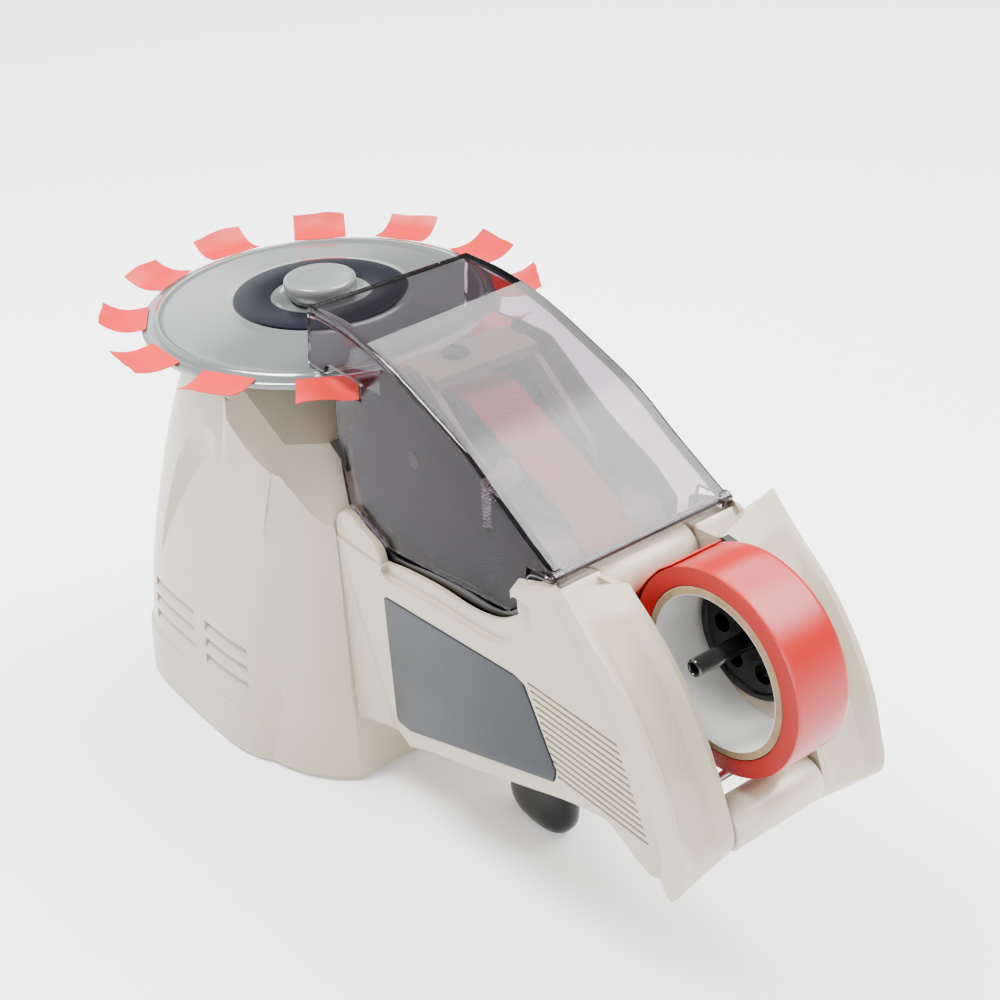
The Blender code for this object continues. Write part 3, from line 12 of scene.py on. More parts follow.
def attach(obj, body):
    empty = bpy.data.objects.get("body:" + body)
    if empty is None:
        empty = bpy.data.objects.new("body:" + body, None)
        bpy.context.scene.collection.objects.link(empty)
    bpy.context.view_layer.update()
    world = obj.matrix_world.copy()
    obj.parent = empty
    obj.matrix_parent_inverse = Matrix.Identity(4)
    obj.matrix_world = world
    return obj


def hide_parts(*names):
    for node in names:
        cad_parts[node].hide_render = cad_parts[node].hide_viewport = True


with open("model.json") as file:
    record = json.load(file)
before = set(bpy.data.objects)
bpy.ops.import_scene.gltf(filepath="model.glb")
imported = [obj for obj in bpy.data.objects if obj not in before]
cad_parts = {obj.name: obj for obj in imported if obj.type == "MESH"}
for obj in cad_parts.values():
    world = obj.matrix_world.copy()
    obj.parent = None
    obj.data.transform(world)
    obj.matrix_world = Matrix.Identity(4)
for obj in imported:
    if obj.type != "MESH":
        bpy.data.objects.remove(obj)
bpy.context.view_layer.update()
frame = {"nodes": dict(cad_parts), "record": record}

# Places and sizes of the solids, in metres
DISC_X = -0.08445
DISC_RADIUS = 0.0665
DISC_TOP = 0.169
ARM_X = -0.02685
ARM_LENGTH = 0.160
ARM_HEIGHT = 0.150
ARM_HALF_WIDTH = 0.039
SHELL_WALL = 0.0045
CHEEK_INNER = 0.019
ROLL_X = 0.13315
ROLL_Z = 0.12345
ROLL_RADIUS = 0.0338
HALF_TAPE = 0.0104
CORE_RADIUS = 0.0275
CORE_BORE = 0.0249
SPINDLE = (0.13165, 0.12755)
HUB_RADIUS = 0.02023
GUIDE = (0.089187, 0.135559)
GUIDE_RADIUS = 0.0085
LOWER = (0.145143, 0.077076)
LOWER_RADIUS = 0.008
ROD = (0.135766, 0.086041)
COWL_X = -0.10835
COWL_REAR = 0.0585
COWL_HEIGHT = 0.150
HINGE = (ARM_X + 0.738 * ARM_LENGTH, 0.981 * ARM_HEIGHT)
SIDES = ((-1, "left"), (1, "right"))


# Helpers for numbers and outlines


def clamped(value):
    return min(1.0, max(0.0, value))


def mix(a, b, share):
    return a + (b - a) * share


def between(value, places, values):
    return float(np.interp(value, places, values))


def arm(points):
    """Places in the side view from shares of the arm's length and height."""
    return [(ARM_X + a * ARM_LENGTH, b * ARM_HEIGHT) for a, b in points]


def round_roll(distance, degrees):
    """A place in the side view at a distance from the roll's middle."""
    a = math.radians(degrees)
    return ROLL_X + distance * math.cos(a), ROLL_Z + distance * math.sin(a)


def curve_through(points, per, corner=38, closed=True):
    """More points on a smooth curve through an outline's points. A corner that turns sharply stays sharp."""
    pts = [Vector(p) for p in points]
    count = len(pts)
    ins, outs = [], []
    for i, p in enumerate(pts):
        before = pts[i - 1] if closed or i else p
        after = pts[(i + 1) % count] if closed or i < count - 1 else p
        a, b = p - before, after - p
        if a.length < 1e-9 or b.length < 1e-9 or a.angle(b) > math.radians(corner):
            ins.append(a)
            outs.append(b)
            continue
        along = (a.normalized() * b.length + b.normalized() * a.length).normalized()
        ins.append(along * a.length)
        outs.append(along * b.length)
    made = []
    for i in range(count if closed else count - 1):
        j = (i + 1) % count
        for step in range(per):
            t = step / per
            made.append(pts[i] * (2 * t**3 - 3 * t**2 + 1) + outs[i] * (t**3 - 2 * t**2 + t)
                        + pts[j] * (3 * t**2 - 2 * t**3) + ins[j] * (t**3 - t**2))
    if not closed:
        made.append(pts[-1])
    return [tuple(p) for p in made]


# Helpers for objects and meshes


def scene_object(name, data):
    made = bpy.data.objects.new(name, data)
    bpy.context.scene.collection.objects.link(made)
    return made


def link(name, mesh, body, look, replaced=()):
    """Puts a mesh in the scene as a piece that rides on a body."""
    made = scene_object(name, mesh)
    made.data.materials.clear()
    made.data.materials.append(look)
    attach(made, body)
    if replaced:
        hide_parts(*replaced)
    return made


def smooth(mesh, angle=35):
    mesh.shade_smooth()
    mesh.set_sharp_from_angle(angle=math.radians(angle))
    return mesh


def edited(mesh, work):
    """Passes a mesh through bmesh."""
    shape = bmesh.new()
    shape.from_mesh(mesh)
    work(shape)
    shape.to_mesh(mesh)
    shape.free()
    return mesh


def faced_outwards(shape):
    bmesh.ops.recalc_face_normals(shape, faces=shape.faces)


def mesh_of(name, verts, faces, angle=35):
    mesh = bpy.data.meshes.new(name)
    mesh.from_pydata([tuple(v) for v in verts], [], faces)
    return smooth(edited(mesh, faced_outwards), angle)


def quads(rows, width, closed=False):
    """Faces between rows of points. In a closed row the last point joins the first."""
    made = []
    for i in range(rows - 1):
        for k in range(width if closed else width - 1):
            a, b = i * width + k, i * width + (k + 1) % width
            made.append((a, b, b + width, a + width))
    return made


def plate(name, outline, low, high):
    """A closed plate in the side view between two values of y."""
    count = len(outline)
    verts = [(x, low, z) for x, z in outline] + [(x, high, z) for x, z in outline]
    faces = [tuple(range(count)), tuple(reversed(range(count, 2 * count)))]
    faces += [(i, (i + 1) % count, count + (i + 1) % count, count + i) for i in range(count)]
    return mesh_of(name, verts, faces)


def side_plate(name, outline, side, outer, inner):
    """A plate on one side of the machine, between two distances from its middle."""
    return plate(name, outline, *sorted((side * outer, side * inner)))


def block(name, low, high):
    """A closed box, as a tool that cuts."""
    corners = [(x, y, z) for x in (low[0], high[0]) for y in (low[1], high[1]) for z in (low[2], high[2])]
    faces = [(0, 1, 3, 2), (4, 6, 7, 5), (0, 4, 5, 1), (2, 3, 7, 6), (0, 2, 6, 4), (1, 5, 7, 3)]
    return mesh_of(name, corners, faces)


def lathe(name, profile, place, steps, axis="Y", closed=False):
    """A turned body. The profile lists (radius, height) points down its outer side."""
    pts = list(profile) + ([profile[0]] if closed else [])
    verts, rings = [], []
    for radius, height in pts[:-1] if closed else pts:
        if radius < 1e-7:
            rings.append([len(verts)])
            verts.append((0, 0, height))
            continue
        rings.append(list(range(len(verts), len(verts) + steps)))
        for k in range(steps):
            a = 2 * math.pi * k / steps
            verts.append((radius * math.cos(a), radius * math.sin(a), height))
    if closed:
        rings.append(rings[0])
    faces = []
    for first, second in zip(rings, rings[1:]):
        for k in range(steps):
            n = (k + 1) % steps
            a, b = first[k % len(first)], first[n % len(first)]
            c, d = second[n % len(second)], second[k % len(second)]
            face = [v for i, v in enumerate((a, b, c, d)) if v not in (a, b, c, d)[:i]]
            if len(face) > 2:
                faces.append(face)
    turn = Matrix.Rotation(-math.pi / 2, 4, "X") if axis == "Y" else Matrix.Identity(4)
    moved = Matrix.Translation(place) @ turn
    return mesh_of(name, [moved @ Vector(v) for v in verts], faces)


def turned(node, profile, place, steps, body, look, axis="Y", closed=True):
    """A turned piece that stands for the node of its name."""
    return link(node + "_fine", lathe(node, profile, place, steps, axis, closed), body, look, [node])


def drill(radius, high, low, place=(0, 0, 0), axis="Y", steps=40):
    """A plain cylinder, as a tool that cuts or joins."""
    return lathe("drill", [(0, high), (radius, high), (radius, low), (0, low)], place, steps, axis)


def loft(name, rings):
    """A closed body through rings of points."""
    count = len(rings[0])
    verts = [p for line in rings for p in line]
    faces = [tuple(range(count)), tuple(range(len(verts) - count, len(verts)))]
    return mesh_of(name, verts, faces + quads(len(rings), count, True), 30)


def modifier(obj, kind, **settings):
    made = obj.modifiers.new(kind.lower(), kind)
    for name, value in settings.items():
        setattr(made, name, value)


def apply_all(obj):
    """Turns an object's modifiers into its mesh."""
    bpy.context.view_layer.update()
    graph = bpy.context.evaluated_depsgraph_get()
    mesh = bpy.data.meshes.new_from_object(obj.evaluated_get(graph))
    obj.modifiers.clear()
    obj.data = mesh


def cut(obj, meshes, operation="DIFFERENCE"):
    """Cuts each mesh out of an object, or joins it, or keeps what both share."""
    for mesh in meshes:
        helper = scene_object("helper", mesh)
        modifier(obj, "BOOLEAN", operation=operation, solver="EXACT", object=helper)
        apply_all(obj)
        bpy.data.objects.remove(helper, do_unlink=True)


def rounded(obj, width, segments=3, angle=30):
    """Rounds the edges that turn by more than an angle."""
    limit = math.radians(angle)
    modifier(obj, "BEVEL", width=width, segments=segments, limit_method="ANGLE", angle_limit=limit)
    apply_all(obj)
    smooth(obj.data, angle + 8)


def reworked(mesh, work):
    """The mesh after work on an object that holds it."""
    helper = scene_object("helper", mesh)
    work(helper)
    made = helper.data
    bpy.data.objects.remove(helper, do_unlink=True)
    return made


def rim_rounded(name, outline, low, high, width, per=5):
    """A plate with a smooth outline and rounded rims."""
    mesh = plate(name, curve_through(outline, per), low, high)
    return reworked(mesh, lambda helper: rounded(helper, width, 3, 55))


# Materials


def feed(tree, node, values):
    """Sets a node's inputs. A value that is another node's output becomes a link."""
    for name, value in values.items():
        if isinstance(value, bpy.types.NodeSocket):
            tree.links.new(value, node.inputs[name])
        else:
            node.inputs[name].default_value = value


def put(tree, kind, values, output, **settings):
    """Adds a node and gives one of its outputs."""
    made = tree.nodes.new("ShaderNode" + kind)
    for name, value in settings.items():
        setattr(made, name, value)
    feed(tree, made, values)
    return made.outputs[output]


def new_material(name):
    """A material, its node tree, its shader and the place on the object."""
    made = bpy.data.materials.new(name)
    made.use_nodes = True
    tree = made.node_tree
    return made, tree, tree.nodes["Principled BSDF"], put(tree, "TexCoord", {}, "Object")


def noise(tree, place, scale, detail, stretch=(1, 1, 1)):
    spread = put(tree, "Mapping", {"Vector": place, "Scale": stretch}, "Vector")
    return put(tree, "TexNoise", {"Vector": spread, "Scale": scale, "Detail": detail}, "Fac")


def color_drift(tree, share, low, high, span=(0, 1)):
    """A colour between two, by a share."""
    ramp = tree.nodes.new("ShaderNodeValToRGB")
    for stop, at, color in zip(ramp.color_ramp.elements, span, (low, high)):
        stop.position = at
        stop.color = (*color, 1)
    feed(tree, ramp, {"Fac": share})
    return ramp.outputs["Color"]


def relief(tree, height, distance):
    return put(tree, "Bump", {"Strength": 0.5, "Distance": distance, "Height": height}, "Normal")


def surface(name, color, rough, varied=0.05, grain=900, bump=0.02, metallic=0.0, coat=0.0, blotch=18,
            stretch=(1, 1, 1), rough_span=0.06, specular=0.5):
    """A moulded or worked surface: slow colour drift, fine grain in the relief, uneven gloss."""
    made, tree, shader, place = new_material(name)
    low, high = [c * (1 - varied) for c in color], [min(1, c * (1 + varied)) for c in color]
    wear = noise(tree, place, 55, 5.0)
    gloss = {"Value": wear, "To Min": max(0.02, rough - rough_span), "To Max": rough + rough_span}
    feed(tree, shader, {
        "Base Color": color_drift(tree, noise(tree, place, blotch, 4.0), low, high, (0.3, 0.7)),
        "Normal": relief(tree, noise(tree, place, grain, 4.0, stretch), bump / 1000),
        "Roughness": put(tree, "MapRange", gloss, "Result"),
        "Metallic": metallic,
        "Coat Weight": coat,
        "Coat Roughness": 0.08,
        "Specular IOR Level": specular,
    })
    return made


beige = surface("beige_plastic", (0.335, 0.290, 0.212), 0.32, 0.025, 1400, coat=0.15)
roller_beige = surface("roller_plastic", (0.38, 0.335, 0.25), 0.28, 0.03, coat=0.2)
disc_grey = surface("disc_grey", (0.080, 0.088, 0.086), 0.16, 0.03, 1100, 0.006, coat=1.0, rough_span=0.04)
knob_grey = surface("knob_grey", (0.10, 0.11, 0.106), 0.28, 0.03, 1100, coat=0.25)
ring_navy = surface("ring_navy", (0.0025, 0.003, 0.0065), 0.30, 0.10, 1500, 0.004, specular=0.15)
slate = surface("slate_label", (0.008, 0.0110, 0.0150), 0.36, 0.06, 2200, 0.008, specular=0.22)
black = surface("black_plastic", (0.0032, 0.0032, 0.0036), 0.30, 0.15, 1300, specular=0.22)
gloss_black = surface("gloss_black", (0.004, 0.004, 0.0045), 0.16, 0.10, 900, 0.01, coat=0.4)
rubber = surface("black_rubber", (0.009, 0.009, 0.0095), 0.68, 0.15, 700, 0.06)
steel = surface("steel", (0.60, 0.60, 0.61), 0.26, 0.05, 600, 0.015, 1.0, stretch=(1, 12, 1))
dark_metal = surface("dark_metal", (0.014, 0.017, 0.022), 0.55, 0.08, 300, 0.002, specular=0.15)
dark_steel = surface("dark_steel", (0.055, 0.052, 0.055), 0.24, 0.10, 600, 0.01, 0.6)
tan = surface("tan_plastic", (0.27, 0.225, 0.165), 0.42, 0.06, 900, 0.04)
board_green = surface("board_green", (0.02, 0.15, 0.07), 0.5, 0.15, 500, 0.05)
paper = surface("paper_core", (0.20, 0.135, 0.075), 0.85, 0.22, 420, 0.12, blotch=160, specular=0.2)


def tape_material(name, rough, clear, red, specular, rings=False):
    """Red plastic film. On the roll's side the edges of its layers show as fine rings."""
    made, tree, shader, place = new_material(name)
    if rings:
        away = put(tree, "VectorMath", {0: place, 1: (ROLL_X, 0, ROLL_Z)}, "Vector", operation="SUBTRACT")
        flat = put(tree, "VectorMath", {0: away, 1: (1, 0, 1)}, "Vector", operation="MULTIPLY")
        reach = put(tree, "VectorMath", {0: flat}, "Value", operation="LENGTH")
        layers = put(tree, "Math", {0: reach, 1: 9000}, "Value", operation="MULTIPLY")
        fine = put(tree, "TexNoise", {"W": layers, "Scale": 1.0}, "Fac", noise_dimensions="1D")
    else:
        fine = noise(tree, place, 160, 3.0, (1, 0.25, 1))
    drift = noise(tree, place, 40, 4.0)
    feed(tree, shader, {
        "Base Color": color_drift(tree, drift, (red, 0.0030, 0.0035), (red * 1.2, 0.0060, 0.0060)),
        "Normal": relief(tree, fine, 0.0001 if rings else 0.00006),
        "Roughness": rough,
        "Specular IOR Level": specular,
        "Subsurface Weight": clear,
        "Subsurface Radius": (0.004, 0.0012, 0.001),
    })
    return made


roll_red = tape_material("tape_red_roll", 0.26, 0.08, 0.27, 0.35)
side_red = tape_material("tape_red_side", 0.46, 0.0, 0.22, 0.25, True)
film_red = tape_material("tape_red_film", 0.44, 0.25, 0.38, 0.25)
lining = surface("core_lining", (0.55, 0.55, 0.535), 0.30, 0.03, 500, 0.03, coat=0.2)


def smoke_material(name, ior, clear=1.0):
    """Smoked clear plastic with faint scuffs in its gloss."""
    made, tree, shader, place = new_material(name)
    scuff = noise(tree, place, 220, 6.0, (1, 1, 0.2))
    gloss = {"Value": scuff, "From Min": 0.45, "From Max": 0.75, "To Min": 0.012, "To Max": 0.07}
    # A clear factor below 1 darkens the colour. The rear rim uses it as painted shade.
    low, high = [c * clear for c in (0.90, 0.87, 0.90)], [c * clear for c in (0.96, 0.94, 0.96)]
    feed(tree, shader, {
        "Base Color": color_drift(tree, noise(tree, place, 12, 2.0), low, high),
        "Roughness": put(tree, "MapRange", gloss, "Result"),
        "Transmission Weight": 1.0,
        "IOR": ior,
    })
    tint = put(tree, "VolumeAbsorption", {"Color": (0.50, 0.43, 0.48, 1), "Density": 620}, "Volume")
    feed(tree, tree.nodes["Material Output"], {"Volume": tint})
    return made


smoke = smoke_material("smoked_cover", 1.38)
smoke_side = smoke_material("smoked_side", 1.14)
# The same smoked plastic darkened to a tenth, for the rear rim: painted shade, not a darker plastic
smoke_edge_painted_shade = smoke_material("smoked_edge_painted_shade", 1.38, 0.10)

looks = {
    "housing": beige, "disc": disc_grey, "ring": ring_navy, "label": slate, "tape": film_red,
    "paper_core": paper, "black_plastic": black, "rubber": rubber, "smoked_cover": smoke, "steel": steel,
    "plate_metal": dark_metal, "tan_plastic": tan, "board": board_green,
}
# The CAD nodes: a finish from their material slot, and softly rounded edges
slots = {s["node"]: s["material_slot"] for s in frame["record"]["subparts"]}
for node, obj in frame["nodes"].items():
    obj.data.materials.clear()
    obj.data.materials.append(looks[slots[node]])
    obj.data.shade_smooth()
    modifier(obj, "WELD", merge_threshold=0.000002)
    modifier(obj, "BEVEL", width=0.00025, segments=2, limit_method="ANGLE", angle_limit=math.radians(32))
    modifier(obj, "WEIGHTED_NORMAL", keep_sharp=True)
frame["nodes"]["feed_axle"].data.materials[0] = dark_steel


# Carousel

RING_RADIUS = 0.0324
DISC_RISE = 0.004
# The disc's bead: radius, and height above the disc's cone
BEAD = [(0.0590, 0.0001), (0.0598, 0.0005), (0.0605, 0.00062), (0.0612, 0.0004), (0.0619, -0.0001),
        (0.0640, -0.0001)]


def cone(radius):
    """The height of the disc's top at a radius."""
    return DISC_TOP + DISC_RISE * min(1.0, (DISC_RADIUS - radius) / (DISC_RADIUS - RING_RADIUS))


def carousel():
    """The disc with its raised middle and bead, the ring round the middle, and the knob."""
    place = (DISC_X, 0, 0)
    slope = [0.034 + (0.0575 - 0.034) * k / 8 for k in range(1, 9)]
    profile = [(0.0043, 0.1720), (0.0156, 0.1720), (0.0161, 0.1722), (0.0178, 0.1729), (0.0184, 0.1730),
               (0.0324, 0.1730), (0.0332, 0.1731), (0.0338, 0.17285)]
    profile += [(radius, cone(radius)) for radius in slope]
    profile += [(radius, cone(radius) + rise) for radius, rise in BEAD]
    profile += [(0.0654, DISC_TOP), (0.0661, 0.1688), (0.06645, 0.1684), (0.0665, 0.1678), (0.0665, 0.1672),
                (0.0663, 0.1667), (0.0658, 0.1664), (0.0324, 0.1684), (0.014, 0.1684), (0.014, 0.1637),
                (0.0043, 0.1637)]
    turned("carousel_disc", profile, place, 224, "carousel", disc_grey, "Z")
    profile = [(0.0186, 0.1733), (0.0188, 0.1737), (0.0192, 0.1738), (0.0318, 0.1738), (0.0322, 0.1737),
               (0.0324, 0.1733)]
    turned("label_ring", profile, place, 192, "carousel", ring_navy, "Z")
    profile = [(0, 0.17905), (0.004, 0.1791), (0.0085, 0.1793), (0.0108, 0.1797), (0.0118, 0.1800),
               (0.0126, 0.17985), (0.0132, 0.1793), (0.0134, 0.1786), (0.0134, 0.1752), (0.0132, 0.1748),
               (0.0126, 0.1745), (0.0116, 0.1742), (0.0112, 0.1738), (0.0112, 0.17235), (0, 0.17235)]
    turned("hub_knob", profile, place, 128, "carousel", knob_grey, "Z", False)


# How far each cut piece's tip stands above the rim, how it twists, and the number of degrees off its place
PIECES = [
    (0.0047, 0.04, 0.6), (0.0042, 0.06, -0.8), (0.0047, -0.05, 0.5), (0.0050, 0.05, -0.4),
    (0.0044, -0.04, 0.7), (0.0042, 0.03, -0.5), (0.0040, 0.05, 0.4), (0.0036, -0.03, 0.0),
    (0.0034, 0.02, 0.3), (0.0004, -0.03, 0.0), (0.0020, 0.05, -0.6), (0.0024, -0.05, 0.5),
]
PIECE_START = 238.2
PIECE_STEP = 30
PIECE_INNER = 0.0024
PIECE_LENGTH = 0.0178
FILM_THICKNESS = 0.00022


def tape_pieces():
    """Strips of film stuck on the rim. Each free end bends in its own way."""
    rows, columns = 14, 8
    for index, (rise, twist, off) in enumerate(PIECES):
        grid = []
        for i in range(rows + 1):
            reach = -PIECE_INNER + PIECE_LENGTH * i / rows
            free = max(0.0, reach / (PIECE_LENGTH - PIECE_INNER))
            base = cone(DISC_RADIUS + min(reach, 0.0)) + 0.0004
            x = DISC_RADIUS + reach - rise * free**2 * 0.30
            for j in range(columns + 1):
                side = (j / columns - 0.5) * 2
                lift = rise * free**2.1 + twist * side * HALF_TAPE * free**1.5
                lift -= 0.0006 * math.sin(math.pi * free)
                lift += 0.0004 * free * math.sin(3.1 * side + index) - 0.0005 * free * side * side
                jag = 0.00016 * math.sin(side * 17 + index * 2) if i == rows else 0
                grid.append((x + jag, side * HALF_TAPE, base + lift))
        angle = math.radians(PIECE_START - PIECE_STEP * index + off)
        turn = Matrix.Translation((DISC_X, 0, 0)) @ Matrix.Rotation(angle, 4, "Z")
        mesh = mesh_of("film", [turn @ Vector(p) for p in grid], quads(rows + 1, columns + 1))
        name = "tape_piece_%02d" % (index + 1)
        piece = link(name + "_film", mesh, "carousel", film_red, [name])
        modifier(piece, "SOLIDIFY", thickness=FILM_THICKNESS, offset=1)
        apply_all(piece)
        smooth(piece.data, 50)


# Roll, core and spindle


def roll():
    """The wound tape with its soft edges, the paper core and the core's pale lining."""
    place = (ROLL_X, 0, ROLL_Z)
    w, r, c, b = HALF_TAPE, ROLL_RADIUS, CORE_RADIUS, CORE_BORE
    profile = [(c + 0.0003, w), (r - 0.0006, w), (r - 0.00025, w - 0.00012), (r - 0.0001, w - 0.0005),
               (r, w - 0.0014), (r + 0.00004, 0.003), (r - 0.00003, -0.002), (r, 0.0014 - w),
               (r - 0.0001, 0.0005 - w), (r - 0.00025, 0.00012 - w), (r - 0.0006, -w), (c + 0.0003, -w)]
    tape = turned("tape_roll", profile, place, 224, "roll", roll_red)
    tape.data.materials.append(side_red)
    for face in tape.data.polygons:
        if abs(face.normal.y) > 0.8:
            face.material_index = 1
    w += 0.0003
    profile = [(b + 0.0003, w), (c - 0.0003, w), (c, w - 0.0003), (c, 0.0003 - w), (c - 0.0003, -w),
               (b + 0.0003, -w)]
    turned("tape_core", profile, place, 192, "roll", paper)
    profile = [(b, w - 0.0001), (b + 0.0003, w - 0.0001), (b + 0.0003, 0.0001 - w), (b, 0.0001 - w)]
    link("core_lining", lathe("lining", profile, place, 192, closed=True), "roll", lining)


def spindle():
    """The black rod and the disc with six holes that centres the core."""
    place = (SPINDLE[0], 0, SPINDLE[1])
    profile = [(0.0019, 0.0154), (0.0029, 0.0154), (0.0029, -0.0166), (0.0026, -0.0170), (0.0021, -0.0170),
               (0.0019, -0.0166)]
    turned("spindle", profile, place, 64, "root", gloss_black)
    low, high, r = 0.00490, 0.01530, HUB_RADIUS
    profile = [(0.0032, high), (r - 0.0006, high), (r, high - 0.0006), (r, low + 0.0006), (r - 0.0006, low),
               (r - 0.0022, low), (r - 0.0026, low + 0.0008), (0.0075, low + 0.0008), (0.0070, low),
               (0.0032, low)]
    hub = turned("spindle_hub", profile, place, 128, "hub", black)
    middle = (0.0029 + r) / 2
    turns = [2 * math.pi * k / 6 for k in range(6)]
    cut(hub, [drill(0.0032, 0.02, 0.0, (place[0] + middle * math.cos(a), 0, place[2] + middle * math.sin(a)))
              for a in turns])
    smooth(hub.data)


def rollers():
    half = CHEEK_INNER - 0.0004
    for name, r, point, body in (("guide_roller", GUIDE_RADIUS, GUIDE, "guide"),
                                 ("lower_roller", LOWER_RADIUS, LOWER, "lower")):
        profile = [(0.0021, half), (r - 0.0012, half), (r - 0.0004, half - 0.0003), (r, half - 0.0011),
                   (r, 0.0011 - half), (r - 0.0004, 0.0003 - half), (r - 0.0012, -half), (0.0021, -half)]
        turned(name, profile, (point[0], 0, point[1]), 96, body, roller_beige)


carousel()
tape_pieces()
roll()
spindle()
rollers()


# Tower: the housing behind the arm

BELT_STEP = 0.0013
BELT = ((-0.150, 0.0240), (-0.062, 0.0175))
ARCH_OUTER = [(-0.1372, 0.0500), (-0.1357, 0.0587), (-0.1262, 0.0922), (-0.1125, 0.1176), (-0.1010, 0.1292),
              (-0.0920, 0.1333), (-0.0850, 0.1320), (-0.0818, 0.1250), (-0.0798, 0.1120), (-0.0768, 0.0860),
              (-0.0727, 0.0589), (-0.0712, 0.0500)]
ARCH_INNER = [(-0.1368, 0.0496), (-0.1335, 0.0610), (-0.1230, 0.0850), (-0.1090, 0.1066), (-0.1010, 0.1152),
              (-0.0945, 0.1183), (-0.0885, 0.1173), (-0.0848, 0.1120), (-0.0822, 0.1010), (-0.0784, 0.0800),
              (-0.0741, 0.0590), (-0.0716, 0.0496)]
ARCH_FLOOR = 0.0056
LOUVRE_GROUPS = [(-0.1395, -0.1056), (-0.0972, -0.0680)]
LOUVRE_TOPS = (0.0495, 0.0420, 0.0345)
LOUVRE_SPAN = 0.0056
LOUVRE_DEPTH = 0.0028
LOUVRE_SLIT = 0.0075
CREASE_DEPTH = 0.0026
CREASE_SPAN = 0.034
SWITCH_Z = 0.046
INLET_Z = 0.020
INLET_RADIUS = 0.0063
# Planes that cut the shoulder: a point on each and the way it faces
SHOULDERS = [
    ((-0.0626, -0.0468, 0.1416), (0.29, -0.80, 0.50)),
    ((-0.0393, -0.0420, 0.1272), (0.72, -0.50, 0.48)),
    ((-0.0459, -0.0431, 0.1384), (0.46, -0.30, 0.84)),
]
# The neck's top edge in the side view, from the arm backwards
NECK_SLOPE = arm([
    (-0.003, 0.70), (-0.005, 0.747), (-0.020, 0.790), (-0.050, 0.838), (-0.095, 0.895), (-0.156, 0.952),
    (-0.250, 0.984), (-0.420, 0.988),
])
CHIN_LINE = arm([
    (-0.094, 0.187), (0.000, 0.187), (0.200, 0.243), (0.252, 0.268), (0.012, 0.750), (-0.094, 0.750),
])
FLANK_LINE = arm([
    (-0.050, 0.205), (-0.003, 0.200), (0.158, 0.262), (0.150, 0.300), (0.0005, 0.730), (-0.050, 0.730),
])
HUMP_LINE = arm([
    (0.001, 0.735), (0.001, 0.772), (0.014, 0.803), (0.045, 0.818), (0.100, 0.796), (0.160, 0.768),
    (0.172, 0.735),
])
LUG_LINE = [(-0.0382, 0.1405), (-0.0312, 0.1446), (-0.0270, 0.1440), (-0.0270, 0.1330), (-0.0300, 0.1352)]


def cowl_sizes(z):
    """The cowl's section at a height: its middle, front, rear and side reach, and how square it is."""
    t = clamped(z / COWL_HEIGHT)
    front = between(t, (0, 0.107, 0.28, 0.5, 0.69, 1), (0.0605, 0.0640, 0.0664, 0.0713, 0.080, 0.078))
    size = max(0.02, 1 - clamped((z - 0.147) / 0.011) ** 2.6) ** 0.45
    rear, width = (COWL_REAR - 0.011 * t**2.2) * size, (0.066 - 0.0185 * t**1.5) * size
    return COWL_X + 0.018 * t**2, front * size, rear, width, 4.4 - 2.0 * t**1.4


def neck_sizes(z):
    """The neck's section at a height: its middle, its reach along and across, and how square it is."""
    t = z / COWL_HEIGHT
    middle = DISC_X - 0.0074
    return middle, (ARM_X - middle) * 1.125, 0.062 - 0.012 * t, 2.7 + 0.8 * t


def oval_side(along, width, power):
    """How far a squared oval reaches sideways, at a share of its length."""
    return width * max(0.0, 1 - abs(along) ** power) ** (1 / power)


def cowl_side(x, z):
    middle, front, rear, width, power = cowl_sizes(z)
    return oval_side((x - middle) / (front if x > middle else rear), width, power)


def neck_side(x, z):
    middle, long, width, power = neck_sizes(z)
    return oval_side((x - middle) / long, width, power)


def oval(middle, front, rear, width, power, z, count=200):
    """A squared oval at a height, with its own reach to the front and the rear."""
    made = []
    for k in range(count):
        a = 2 * math.pi * (k + 0.5) / count
        long = front if math.cos(a) > 0 else rear
        reach = ((abs(math.cos(a)) / long) ** power + (abs(math.sin(a)) / width) ** power) ** (-1 / power)
        made.append((middle + reach * math.cos(a), reach * math.sin(a), z))
    return made


def cowl_mesh():
    """The tower's body. A thin step runs round its sides at the belt line."""
    levels = [0.0015, 0.004, 0.008, 0.012, 0.015] + [0.0164 + 0.0006 * k for k in range(15)]
    levels += [0.028 + 0.004 * k for k in range(30)] + [0.147 + 0.011 * (k / 12) ** 0.6 for k in range(13)]
    rings = []
    for z in levels:
        line = []
        for x, y, _ in oval(*cowl_sizes(z), z):
            share = clamped((z - between(x, *zip(*BELT))) / 0.0009) * clamped((0.135 - z) / 0.04)
            share *= clamped((abs(y) - 0.030) / 0.015)
            line.append((x, y - math.copysign(BELT_STEP * share, y), z))
        rings.append(line)
    return loft("cowl", rings)


def neck_mesh():
    """The neck between the cowl and the arm, cut to the slope behind the cover."""
    rings = []
    for k in range(31):
        z = 0.0018 + (0.99 * COWL_HEIGHT - 0.0018) * k / 30
        middle, long, width, power = neck_sizes(z)
        line = []
        for x, y, _ in oval(middle, long, long, width, power, z):
            if x < -0.060:
                allowed = cowl_side(x, z) + 0.375 * max(0.0, x + 0.082) - 0.0006
                y = math.copysign(min(abs(y), max(0.001, allowed)), y)
            line.append((x, y, z))
        rings.append(line)
    slope = curve_through(NECK_SLOPE, 8, 60, False)
    side = plate("side", [(NECK_SLOPE[0][0], -0.004), *slope, (NECK_SLOPE[-1][0], -0.004)], -0.08, 0.08)
    return reworked(loft("neck", rings), lambda helper: cut(helper, [side], "INTERSECT"))


def resampled(points, count):
    """An open line's points, moved to equal steps along it."""
    xs, zs = zip(*points)
    reach = [0.0]
    for a, b in zip(points, points[1:]):
        reach.append(reach[-1] + (Vector(b) - Vector(a)).length)
    at = [reach[-1] * k / (count - 1) for k in range(count)]
    return [(between(s, reach, xs), between(s, reach, zs)) for s in at]


